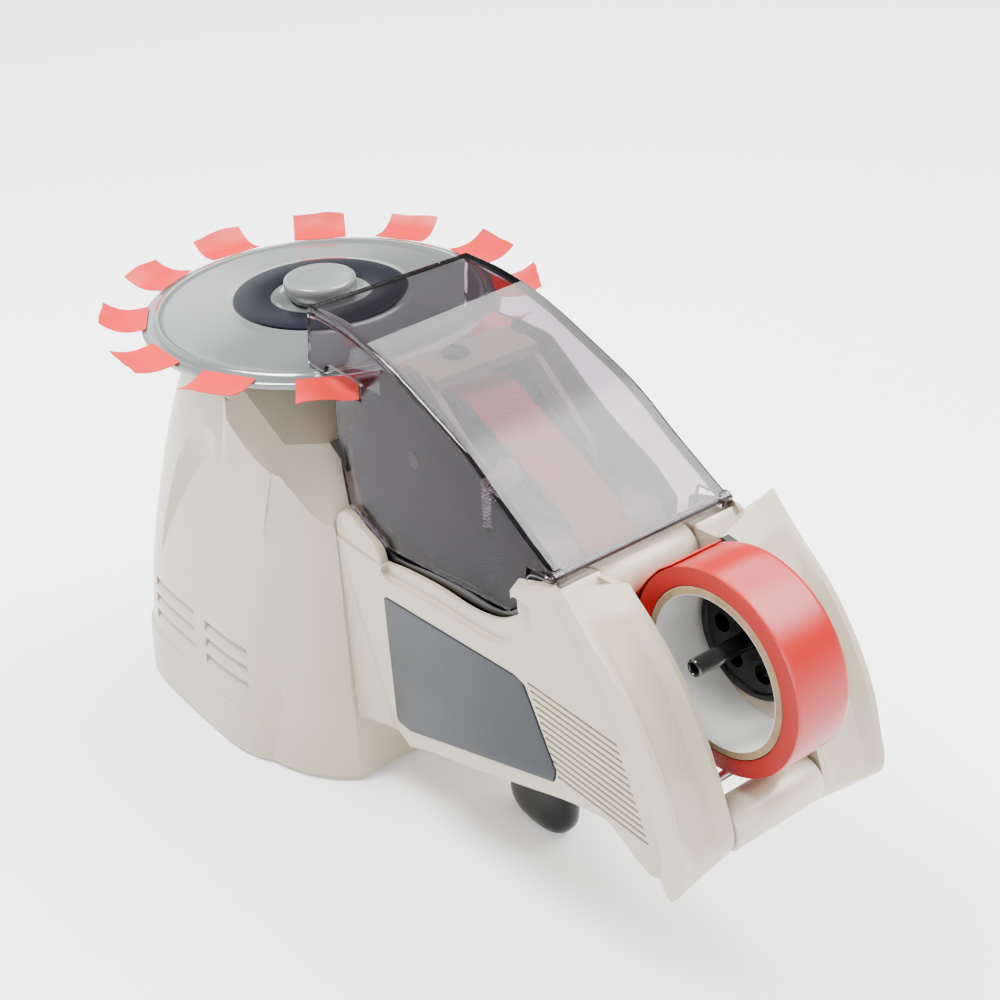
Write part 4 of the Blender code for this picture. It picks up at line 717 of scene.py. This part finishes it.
def arch_cutter(side):
    """Presses the arch into a side: a floor that follows the cowl, and a sloping band round it."""
    half, columns = 36, 17
    halves = []
    for points in (ARCH_OUTER, ARCH_INNER):
        line = curve_through(points, 8, closed=False)
        peak = max(range(len(line)), key=lambda i: line[i][1])
        halves.append((resampled(line[:peak + 1], half), list(reversed(resampled(line[peak:], half)))))
    (outer_left, outer_right), (inner_left, inner_right) = halves
    verts = []
    for left, right in zip(inner_left, inner_right):
        for k in range(columns):
            x, z = (mix(a, b, k / (columns - 1)) for a, b in zip(left, right))
            depth = ARCH_FLOOR * clamped((z - 0.055) / 0.050) ** 0.8 - 0.0004 * (z < 0.0555)
            verts.append((x, side * (cowl_side(x, z) - depth), z))
    faces = quads(half, columns)
    corner = (half - 1) * columns
    inner_loop = [*range(0, corner, columns), *range(corner, corner + columns - 1)]
    inner_loop += [*range(corner + columns - 1, 0, -columns)]
    outer_loop = outer_left + [outer_left[-1]] * (columns - 2) + outer_right[::-1]
    first, total = len(verts), len(outer_loop)
    for index, (x, z) in zip(inner_loop, outer_loop):
        inner, outer = Vector(verts[index]), Vector((x, side * cowl_side(x, z), z))
        verts.append(tuple(outer + (outer - inner) * 0.25 + Vector((0, side * 0.0002, 0))))
    second = len(verts)
    verts += [(x, side * 0.085, z) for x, _, z in verts[first:]]
    for k in range(total - 1):
        faces.append((inner_loop[k], inner_loop[k + 1], first + k + 1, first + k))
        faces.append((first + k, first + k + 1, second + k + 1, second + k))
    faces.append((first, *range(columns), first + total - 1, second + total - 1, second))
    faces.append(tuple(range(second, second + total)))

    def welded(shape):
        bmesh.ops.remove_doubles(shape, verts=shape.verts, dist=0.00001)
        faced_outwards(shape)

    return edited(mesh_of("arch", verts, faces, 20), welded)


def louvre_cutters(side):
    """Slits in a side of the cowl, with sloping slats between them."""
    made = []
    for first, last in LOUVRE_GROUPS:
        for top in LOUVRE_TOPS:
            low = top - LOUVRE_SPAN
            rings = []
            for k in range(13):
                x = first + (last - first) * k / 12
                up, down = cowl_side(x, top) - 0.0009, cowl_side(x, low) - 0.0009
                section = [(up - LOUVRE_SLIT, top), (up + 0.004, top), (down + 0.004, low),
                           (down + 0.0001, low), (up - LOUVRE_DEPTH, top - 0.0010),
                           (up - LOUVRE_SLIT, top - 0.0009)]
                rings.append([(x, side * y, z) for y, z in section])
            made.append(loft("louvre", rings))
    return made


def crease_cutter(side):
    """A shallow scoop in front of the cowl. It starts at a crisp step and fades out towards the arm."""
    shares = [k / 16 for k in range(17)]
    rings = []
    for level in range(31):
        z = 0.012 + 0.004 * level
        start = -0.0624 + 0.0150 * max(0.0, (z - 0.016) / 0.12) ** 2.6
        fade = min(1.0, (z - 0.012) / 0.012) * min(1.0, (0.1321 - z) / 0.010)
        outer, inner = [], []
        for share in shares:
            x = start + CREASE_SPAN * share ** 1.4
            y = max(cowl_side(x, z), neck_side(x, z))
            outer.append((x, side * (y + 0.006), z))
            y = y - CREASE_DEPTH * fade * (0.25 + 2.7 * share) * (1 - share) ** 2.2
            inner.append((x, side * (y + 0.0002 * max(share, 1 - 2 * fade)), z))
        rings.append(inner + outer[::-1])
    return loft("crease", rings)


def shoulder_cutter(point, way, side):
    """A block whose one face is the plane that cuts the shoulder."""
    turn = Vector((way[0], way[1] * -side, way[2])).normalized().to_track_quat("Z", "Y").to_matrix().to_4x4()
    mesh = block("shoulder", (-0.06, -0.06, 0), (0.06, 0.06, 0.06))
    mesh.transform(Matrix.Translation((point[0], point[1] * -side, point[2])) @ turn)
    return mesh


def tower():
    """The housing behind the arm, with the parts of the arm's rear that grow out of it."""
    body = link("tower", cowl_mesh(), "root", beige, ["rear_housing"])
    cut(body, [neck_mesh()], "UNION")
    cuts = []
    for side, _ in SIDES:
        cuts += [arch_cutter(side), *louvre_cutters(side), crease_cutter(side)]
        cuts += [shoulder_cutter(point, way, side) for point, way in SHOULDERS]
    rear = COWL_X - COWL_REAR
    low, high = SWITCH_Z - 0.0078, SWITCH_Z + 0.0078
    cuts.append(block("window", (rear - 0.005, -0.0108, low), (rear + 0.011, 0.0108, high)))
    hole = drill(INLET_RADIUS, 0.016, -0.006, axis="Z")
    hole.transform(Matrix.Translation((rear, 0, INLET_Z)) @ Matrix.Rotation(math.pi / 2, 4, "Y"))
    cuts += [hole, loft("hollow", [oval(COWL_X, 0.057, 0.055, 0.0625, 3.6, z) for z in (-0.004, 0.009)])]
    cut(body, cuts)
    smooth(body.data, 17)
    half = ARM_HALF_WIDTH - SHELL_WALL - 0.0003
    rounded(link("tower_chin", plate("chin", CHIN_LINE, -half, half), "root", beige), 0.0010)
    half = ARM_HALF_WIDTH - 0.0012
    rounded(link("tower_flank", plate("flank", FLANK_LINE, -half, half), "root", beige), 0.0012)
    for side, name in SIDES:
        hump = side_plate("hump", curve_through(HUMP_LINE, 5, 60), side, 0.0383, 0.0347)
        rounded(link("tower_hump_" + name, hump, "root", beige), 0.0012, 3, 50)
        lug = side_plate("lug", LUG_LINE, side, 0.0308, 0.0284)
        rounded(link("plate_lug_" + name, lug, "root", black), 0.0004, 2, 40)
    profile = [(0, 0.1633), (0.0093, 0.1633), (0.0187, 0.1633), (0.0194, 0.1631), (0.0199, 0.1626),
               (0.02, 0.1618), (0.02, 0.160), (0.0206, 0.1585), (0.0218, 0.1576), (0.0235, 0.1570),
               (0.0235, 0.150), (0, 0.150)]
    link("tower_boss", lathe("boss", profile, (DISC_X, 0, 0), 96, "Z"), "root", beige)


# Arm

WALL_LINE = arm([
    (0.003, 0.740), (0.166, 0.739), (0.231, 0.753), (0.358, 0.770), (0.494, 0.777), (0.561, 0.795),
    (0.611, 0.827), (0.661, 0.878), (0.670, 0.905), (0.672, 0.937), (0.752, 0.966), (0.760, 0.920),
    (0.800, 0.891), (0.863, 0.836), (0.903, 0.792), (0.966, 0.706), (1.013, 0.627), (1.040, 0.553),
    (1.056, 0.450), (1.045, 0.440), (1.030, 0.433), (0.993, 0.440), (0.938, 0.471), (0.900, 0.487),
    (0.851, 0.479), (0.629, 0.404), (0.454, 0.338), (0.304, 0.288), (0.225, 0.253), (0.163, 0.287),
])
SCOOP_LINE = arm([
    (0.172, 0.728), (0.192, 0.711), (0.353, 0.729), (0.491, 0.737), (0.589, 0.753), (0.656, 0.802),
    (0.693, 0.859), (0.690, 0.900), (0.640, 0.900), (0.590, 0.850), (0.545, 0.810), (0.358, 0.800),
    (0.200, 0.780),
])
CREASE_LINE = arm([
    (0.741, 0.927), (0.806, 0.878), (0.884, 0.803), (0.957, 0.706), (1.004, 0.627), (1.031, 0.553),
    (1.047, 0.480), (1.048, 0.433),
])
PROUD_LINE = arm([
    (0.817, 1.020), (0.887, 0.949), (0.972, 0.872), (1.044, 0.777), (1.090, 0.689), (1.121, 0.587),
    (1.134, 0.482), (1.105, 0.440),
])
INNER_LINE = arm([
    (0.829, 0.972), (0.900, 0.913), (0.975, 0.833), (1.029, 0.745), (1.062, 0.673), (1.097, 0.583),
    (1.116, 0.507), (1.097, 0.460),
])
BLOCK_LINE = arm([
    (0.676, 0.860), (0.676, 0.937), (0.752, 0.966), (0.760, 0.960), (0.790, 0.900), (0.760, 0.860),
])
HEAD_LINE = arm([
    (0.636, 0.846), (0.632, 0.856), (0.632, 0.926), (0.640, 0.936), (0.752, 0.978), (0.768, 0.968),
    (0.800, 0.885), (0.780, 0.840), (0.700, 0.820),
])
PANEL_LINE = arm([
    (0.178, 0.661), (0.627, 0.699), (0.661, 0.691), (0.750, 0.521), (0.744, 0.488), (0.234, 0.307),
    (0.184, 0.309),
])
PANEL_CORNER = 0.0028
FIN_FLARE = 0.004
FIN_DISH = 0.0042
# The grooves below the fin: how many, half a groove's width, and the ends of the first and the last
GROOVES = 13
GROOVE_HALF = 0.00055
GROOVE_REARS = arm([(0.672, 0.703), (0.754, 0.510)])
GROOVE_FRONTS = arm([(0.934, 0), (1.018, 0)])


def cheek_mesh():
    """The fin beside the roll: a flared side band and a front face that is dished between its edges."""
    creases, prouds, inners = (curve_through(p, 7, 60, False) for p in (CREASE_LINE, PROUD_LINE, INNER_LINE))
    outer, proud_y = -ARM_HALF_WIDTH, -ARM_HALF_WIDTH - FIN_FLARE
    rings = []
    for index, (crease, proud, inner) in enumerate(zip(creases, prouds, inners)):
        along = index / (len(creases) - 1)
        bowl = math.sin(math.pi * clamped((along - 0.10) / 0.78)) ** 0.8 * FIN_DISH
        line = [(crease[0], outer + 0.0003, crease[1])]
        for share in (0.35, 0.7, 0.93):
            y = mix(outer, proud_y, share**1.3) - 0.0006 * math.sin(math.pi * share)
            line.append((mix(crease[0], proud[0], share), y, mix(crease[1], proud[1], share)))
        away = Vector((crease[0] - proud[0], crease[1] - proud[1])).normalized()
        for step in range(13):
            share = step / 12
            rim = clamped((share - 0.10) / 0.14) * clamped((0.90 - share) / 0.14)
            dish = bowl * (3 * rim**2 - 2 * rim**3) if bowl > 1e-6 else 0
            x, z = mix(proud[0], inner[0], share), mix(proud[1], inner[1], share)
            line.append((x + away.x * dish, mix(proud_y, -CHEEK_INNER, share), z + away.y * dish))
        rings.append(line + [(crease[0], -CHEEK_INNER, crease[1])])
    width = len(rings[0])
    verts = [p for line in rings for p in line]
    ends = [tuple(range(width)), tuple(range(len(verts) - width, len(verts)))]
    return mesh_of("cheek", verts, quads(len(rings), width, True) + ends)


def groove_bars(outside):
    """Tools that cut the grooves below the fin."""
    made = []
    h = GROOVE_HALF
    for row in range(GROOVES):
        share = row / (GROOVES - 1)
        x, z = (mix(a, b, share) for a, b in zip(*GROOVE_REARS))
        end = mix(GROOVE_FRONTS[0][0], GROOVE_FRONTS[1][0], share)
        line = [(x, z - h * 0.6), (x + 0.0006, z - h), (end, z - h), (end, z + h), (x + 0.0006, z + h),
                (x, z + h * 0.6)]
        made.append(plate("bar", line, outside - 0.006, outside + 0.0009))
    return made


def arm_shell():
    """The left shell with fin, grooves and panel recess. The right shell mirrors it without the recess."""
    outside, inside, cheek = -ARM_HALF_WIDTH, SHELL_WALL - ARM_HALF_WIDTH, -CHEEK_INNER
    wall = rim_rounded("wall", WALL_LINE, outside, inside, 0.0008)
    made = link("arm_side_left", wall, "root", beige, ["arm_shell_left"])
    bay = [round_roll(ROLL_RADIUS + 0.0073, angle) for angle in (243, 236, 228, 220, 213, 205, 198, 192, 186)]
    inner = [(x - 0.001, z - 0.001) for x, z in curve_through(INNER_LINE, 4, 60, False)[:-4]]
    tail, head = arm([(1.04, 0.45), (0.91, 0.497)]), arm([(0.72, 0.90), (0.76, 0.96)])
    cheek_plate = plate("cheek_plate", [*inner, *tail, *bay, *head], cheek - 0.0025, cheek - 0.00015)
    lump = rim_rounded("lump", BLOCK_LINE, outside + 0.0008, cheek - 0.0003, 0.0012, 3)
    head_plate = plate("head", HEAD_LINE, outside, outside + 0.0029)
    for v in head_plate.vertices:
        if v.co.y < outside + 0.001 and v.co.z > ARM_HEIGHT * 0.92:
            v.co.z -= 0.0022
    cut(made, [cheek_mesh(), cheek_plate, lump, head_plate], "UNION")
    scoop = rim_rounded("scoop", SCOOP_LINE, outside - 0.004, outside + 0.0025, 0.0012)
    bores = []
    for (x, z), radius, low, steps in ((GUIDE, 0.0021, cheek - 0.006, 32), (LOWER, 0.0021, cheek - 0.006, 32),
                                       (ROD, 0.0018, cheek - 0.006, 32), (HINGE, 0.0035, -0.0363, 48)):
        bores.append(drill(radius, 0.004 + cheek, low, (x, 0, z), steps=steps))
    cut(made, [scoop, *groove_bars(outside), *bores])
    smooth(made.data, 30)
    other = made.data.copy()
    other.transform(Matrix.Scale(-1, 4, (0, 1, 0)))
    other.flip_normals()
    link("arm_side_right", smooth(other, 30), "root", beige, ["arm_shell_right"])
    cut(made, [plate("recess", panel_outline(0.0003), outside - 0.004, outside + 0.0006)])
    smooth(made.data, 30)


def panel_outline(grow):
    """The label panel's outline with round corners."""
    count = len(PANEL_LINE)
    middle = Vector((sum(x for x, _ in PANEL_LINE) / count, sum(z for _, z in PANEL_LINE) / count))
    pts = [Vector(p) + (Vector(p) - middle).normalized() * grow * 1.3 for p in PANEL_LINE]
    made = []
    for index, corner in enumerate(pts):
        before = (pts[index - 1] - corner).normalized()
        after = (pts[(index + 1) % count] - corner).normalized()
        half = before.angle(after) / 2
        reach = min((PANEL_CORNER + grow) / math.tan(half), 0.0024)
        turn = reach * math.tan(half)
        centre = corner + (before + after).normalized() * (turn / math.sin(half))
        for step in range(8):
            blend = (corner + before * reach).lerp(corner + after * reach, step / 7)
            made.append(tuple(centre + (blend - centre).normalized() * turn))
    return made


def label():
    mesh = plate("label", panel_outline(-0.0001), -ARM_HALF_WIDTH - 0.0004, -ARM_HALF_WIDTH + 0.0004)
    rounded(link("label_panel_fine", mesh, "root", slate, ["label_panel"]), 0.0003, 3, 60)


# Cover

COVER_LINE = arm([
    (-0.062, 1.290), (0.062, 1.287), (0.206, 1.260), (0.338, 1.213), (0.487, 1.150), (0.600, 1.077),
    (0.706, 1.013), (0.744, 0.991),
])
COVER_BELOW = arm([
    (0.725, 0.976), (0.661, 0.974), (0.654, 0.905), (0.637, 0.873), (0.597, 0.832), (0.431, 0.809),
    (0.161, 0.770), (0.022, 0.820), (0.010, 0.907), (0.009, 1.122), (0.117, 1.122), (0.121, 1.126),
    (0.121, 1.163), (0.117, 1.167), (0.000, 1.167), (-0.012, 1.163), (-0.025, 1.141), (-0.085, 1.141),
])
COVER_REAR, COVER_FRONT = COVER_LINE[0][0], COVER_LINE[-1][0]
COVER_WALL = 0.0018
# Half the cover's width at its rear and at its front
COVER_HALF = (0.034, 0.036)
LUG_RADIUS = 0.0024
PIN_BORE = 0.0014
PIN_HALF = 0.0370
CLIP_Y = 0.0374
CLIP_REACH = 0.0098
REST_LINE = arm([
    (0.045, 0.803), (0.161, 0.762), (0.345, 0.789), (0.431, 0.801), (0.590, 0.824), (0.630, 0.864),
    (0.640, 0.850), (0.600, 0.806), (0.431, 0.772), (0.345, 0.752), (0.161, 0.725), (0.080, 0.740),
    (0.040, 0.775),
])


def widened(mesh):
    """Moves the sides apart towards the front."""
    for v in mesh.vertices:
        share = (v.co.x - COVER_REAR) / (COVER_FRONT - COVER_REAR)
        v.co.y += math.copysign((COVER_HALF[1] - COVER_HALF[0]) * share, v.co.y)
    return mesh


def folded(name, top, below, half, fold):
    """A closed body across the machine, with its two folds along the top rounded."""
    line = curve_through(top, 9, 60, False)
    count = len(line) + len(below)

    def bend(shape):
        folds = []
        for edge in shape.edges:
            a, b = sorted(v.index for v in edge.verts)
            if b - a == 1 and (b < len(line) or count <= a and b < count + len(line)):
                folds.append(edge)
        bmesh.ops.bevel(shape, geom=folds, offset=fold, segments=7, profile=0.5, affect="EDGES",
                        clamp_overlap=True)

    return edited(plate(name, [*line, *below], -half, half), bend)


def cover():
    """The smoked hood with its two lugs on the pin. Its sides have their own plastic, and its rear rim has a
    darkened copy of the smoked plastic: painted shade where the clear edge looks dark.
    """
    body = widened(folded("cover", COVER_LINE, COVER_BELOW, COVER_HALF[0], 0.0042))
    made = link("cover_clear", body, "cover", smoke, ["cover_shell"])
    top = [(x, z - COVER_WALL * 1.05) for x, z in COVER_LINE]
    rear, front, floor = COVER_REAR - 0.012, COVER_FRONT + 0.004, 0.7 * ARM_HEIGHT
    top[0] = (rear, top[0][1])
    top[-1] = (front, top[-1][1] - 0.004)
    apart = COVER_HALF[0] - COVER_WALL
    cut(made, [widened(folded("hollow", top, [(front, floor), (rear, floor)], apart, 0.0027))])
    x, z = HINGE
    middle = block("middle", (x - 0.01, -apart, z - 0.01), (x + 0.01, apart, z + 0.01))
    lugs = drill(LUG_RADIUS, 0.036, -0.036, (x, 0, z), steps=48)
    cut(made, [reworked(lugs, lambda helper: cut(helper, [middle]))], "UNION")
    cut(made, [drill(PIN_BORE, 0.04, -0.04, (x, 0, z), steps=32)])
    rounded(made, 0.00045, 2, 40)
    smooth(made.data, 24)
    made.data.materials.append(smoke_side)
    made.data.materials.append(smoke_edge_painted_shade)
    # Faces at the rear rim get the darkened copy (painted shade). The flat sides get the side plastic.
    for face in made.data.polygons:
        if face.center.x < COVER_REAR + 0.0015:
            face.material_index = 2
        elif abs(face.normal.y) > 0.95:
            face.material_index = 1
    modifier(made, "WEIGHTED_NORMAL", keep_sharp=True)


def hinge_pin():
    """The thin dark pin along the cover's front edge."""
    h = PIN_HALF
    profile = [(0, h), (0.0007, h), (0.0010, h - 0.0004), (0.0010, 0.0004 - h), (0.0007, -h), (0, -h)]
    mesh = lathe("pin", profile, (HINGE[0], 0, HINGE[1]), 24)
    link("hinge_pin", mesh, "root", dark_steel, ["cover_hinge_pin"])


def cover_rests():
    """Black strips along the arm's rims, just under the cover's lower edges."""
    outline = curve_through(REST_LINE, 5)
    for side, name in SIDES:
        mesh = side_plate("rest", outline, side, 0.0342, 0.0305)
        strip = link("rest_" + name, mesh, "root", black, ["cover_rest_" + name])
        rounded(strip, 0.0004, 2, 50)


def leg():
    """The black leg under the arm, oval and rounded at its foot."""
    middle, long, half = 0.0360, 0.0168, 0.0074

    def section(share, z):
        return oval(middle, long * share, long * share, half * share, 2.6, z, 96)

    levels = [(0.001, 0.62), (0.0014, 0.70), (0.0026, 0.80), (0.0044, 0.885), (0.0066, 0.95), (0.0092, 0.985)]
    levels += [(0.012 + 0.004 * k, 1.0) for k in range(8)]
    rings = [section(share, z) for z, share in levels]
    # Its top follows the arm's sloping underside
    rings.append([(x, y, 0.0452 + (x - 0.0165) * 0.3235) for x, y, _ in section(1, 0)])
    link("leg_fine", loft("leg", rings), "root", black, ["front_leg"])
    rings = [section(share, z) for z, share in ((0.0, 0.52), (0.0003, 0.56), (0.0009, 0.58), (0.0014, 0.58))]
    link("leg_pad", loft("pad", rings), "root", rubber, ["front_foot"])


def wire(name, points, radius):
    """A thin round wire along a smooth line."""
    data = bpy.data.curves.new(name, "CURVE")
    data.dimensions = "3D"
    data.bevel_depth = radius
    data.bevel_resolution = 3
    data.use_fill_caps = True
    line = curve_through(points, 6, 80, False)
    spline = data.splines.new("POLY")
    spline.points.add(len(line) - 1)
    for place, point in zip(spline.points, line):
        place.co = (*point, 1)
    helper = scene_object(name, data)
    mesh = bpy.data.meshes.new_from_object(helper)
    bpy.data.objects.remove(helper, do_unlink=True)
    return smooth(mesh, 50)


def wire_clips():
    """The wire clips of the cover's pin, beside its two ends."""
    x, z = HINGE
    for side, name in SIDES:
        y = side * CLIP_Y
        line = [(x + 0.0004, side * (CLIP_Y - 0.0018), z), (x + 0.0002, y, z + 0.0001),
                (x - 0.003, y, z - 0.0003), (x - CLIP_REACH, y, z - 0.0030),
                (x - CLIP_REACH - 0.0006, y, z - 0.0044)]
        link("clip_%s_0" % name, wire("clip", line, 0.0003), "root", dark_steel)


tower()
arm_shell()
leg()
wire_clips()
label()
cover()
hinge_pin()
cover_rests()


# Floor, light and camera

FLOOR_HALF = 6.0
# Bright parts of the studio: direction, how narrow each is, and strength
SOFTBOXES = [
    ((0.30, 0.50, 0.81), (0.86, 0.995), 13.0), ((0.97, -0.10, 0.30), (0.78, 0.98), 6.0),
    ((-0.80, -0.50, 0.30), (0.80, 0.98), 3.2), ((-0.90, 0.26, 0.34), (0.955, 0.999), 2.2),
    ((0.0, 0.0, -1.0), (-0.26, -0.06), 1.5),
]
WORLD_STRENGTH = 0.22
CAMERA_PLACE = (0.42765, -0.3014, 0.4245)
# Degrees that the camera turns from the front, looks down and leans
CAMERA_ANGLES = (53.59, 30.18, -3.29)
CAMERA_LENS = 62.28


def stage():
    made, tree, shader, place = new_material("floor")
    feed(tree, shader, {
        "Base Color": color_drift(tree, noise(tree, place, 3, 2.0), (0.80, 0.80, 0.805), (0.83, 0.83, 0.835)),
        "Roughness": 0.55,
        "Specular IOR Level": 0.2,
        "Emission Color": (1, 1, 1, 1),
        "Emission Strength": 0.25,
    })
    corners = [(x * FLOOR_HALF, y * FLOOR_HALF, 0) for x, y in ((-1, -1), (1, -1), (1, 1), (-1, 1))]
    floor = scene_object("floor", mesh_of("floor", corners, [(0, 1, 2, 3)]))
    floor.data.materials.append(made)


def area_light(name, place, target, size, energy):
    light = bpy.data.lights.new(name, "AREA")
    light.shape = "RECTANGLE"
    light.size, light.size_y = size
    light.energy = energy
    made = scene_object(name, light)
    made.location = place
    made.rotation_euler = (Vector(target) - Vector(place)).to_track_quat("-Z", "Y").to_euler()


def lights():
    """A dim white world with soft bright parts, and two area lights above."""
    world = bpy.data.worlds.new("world")
    world.use_nodes = True
    tree = world.node_tree
    view = put(tree, "TexCoord", {}, "Generated")
    total = None
    for way, (edge, full), strength in SOFTBOXES:
        pair = {0: view, 1: Vector(way).normalized()}
        toward = put(tree, "VectorMath", pair, "Value", operation="DOT_PRODUCT")
        span = {"Value": toward, "From Min": edge, "From Max": full,
                "To Min": 0.0 if total else WORLD_STRENGTH, "To Max": strength}
        lobe = put(tree, "MapRange", span, "Result", interpolation_type="SMOOTHERSTEP")
        total = put(tree, "Math", {0: total, 1: lobe}, "Value") if total else lobe
    feed(tree, tree.nodes["Background"], {"Color": (1, 1, 1, 1), "Strength": total})
    bpy.context.scene.world = world
    area_light("overhead", (-0.05, 0.85, 1.38), (-0.05, 0.0, 0.1), (1.9, 0.9), 50)
    area_light("above", (-0.30, -0.38, 1.25), (-0.06, 0.0, 0.1), (0.5, 0.5), 52)


def camera():
    turn, pitch, lean = (math.radians(angle) for angle in CAMERA_ANGLES)
    back = Vector((math.sin(turn) * math.cos(pitch), -math.cos(turn) * math.cos(pitch), math.sin(pitch)))
    level = Vector((math.cos(turn), math.sin(turn), 0))
    up = back.cross(level)
    c, s = math.cos(lean), math.sin(lean)
    right, top = c * level + s * up, c * up - s * level
    data = bpy.data.cameras.new("camera")
    data.sensor_width = 36
    data.lens = CAMERA_LENS
    made = scene_object("camera", data)
    made.matrix_world = Matrix.Translation(CAMERA_PLACE) @ Matrix((right, top, back)).transposed().to_4x4()
    bpy.context.scene.camera = made


stage()
lights()
camera()
bpy.context.view_layer.update()
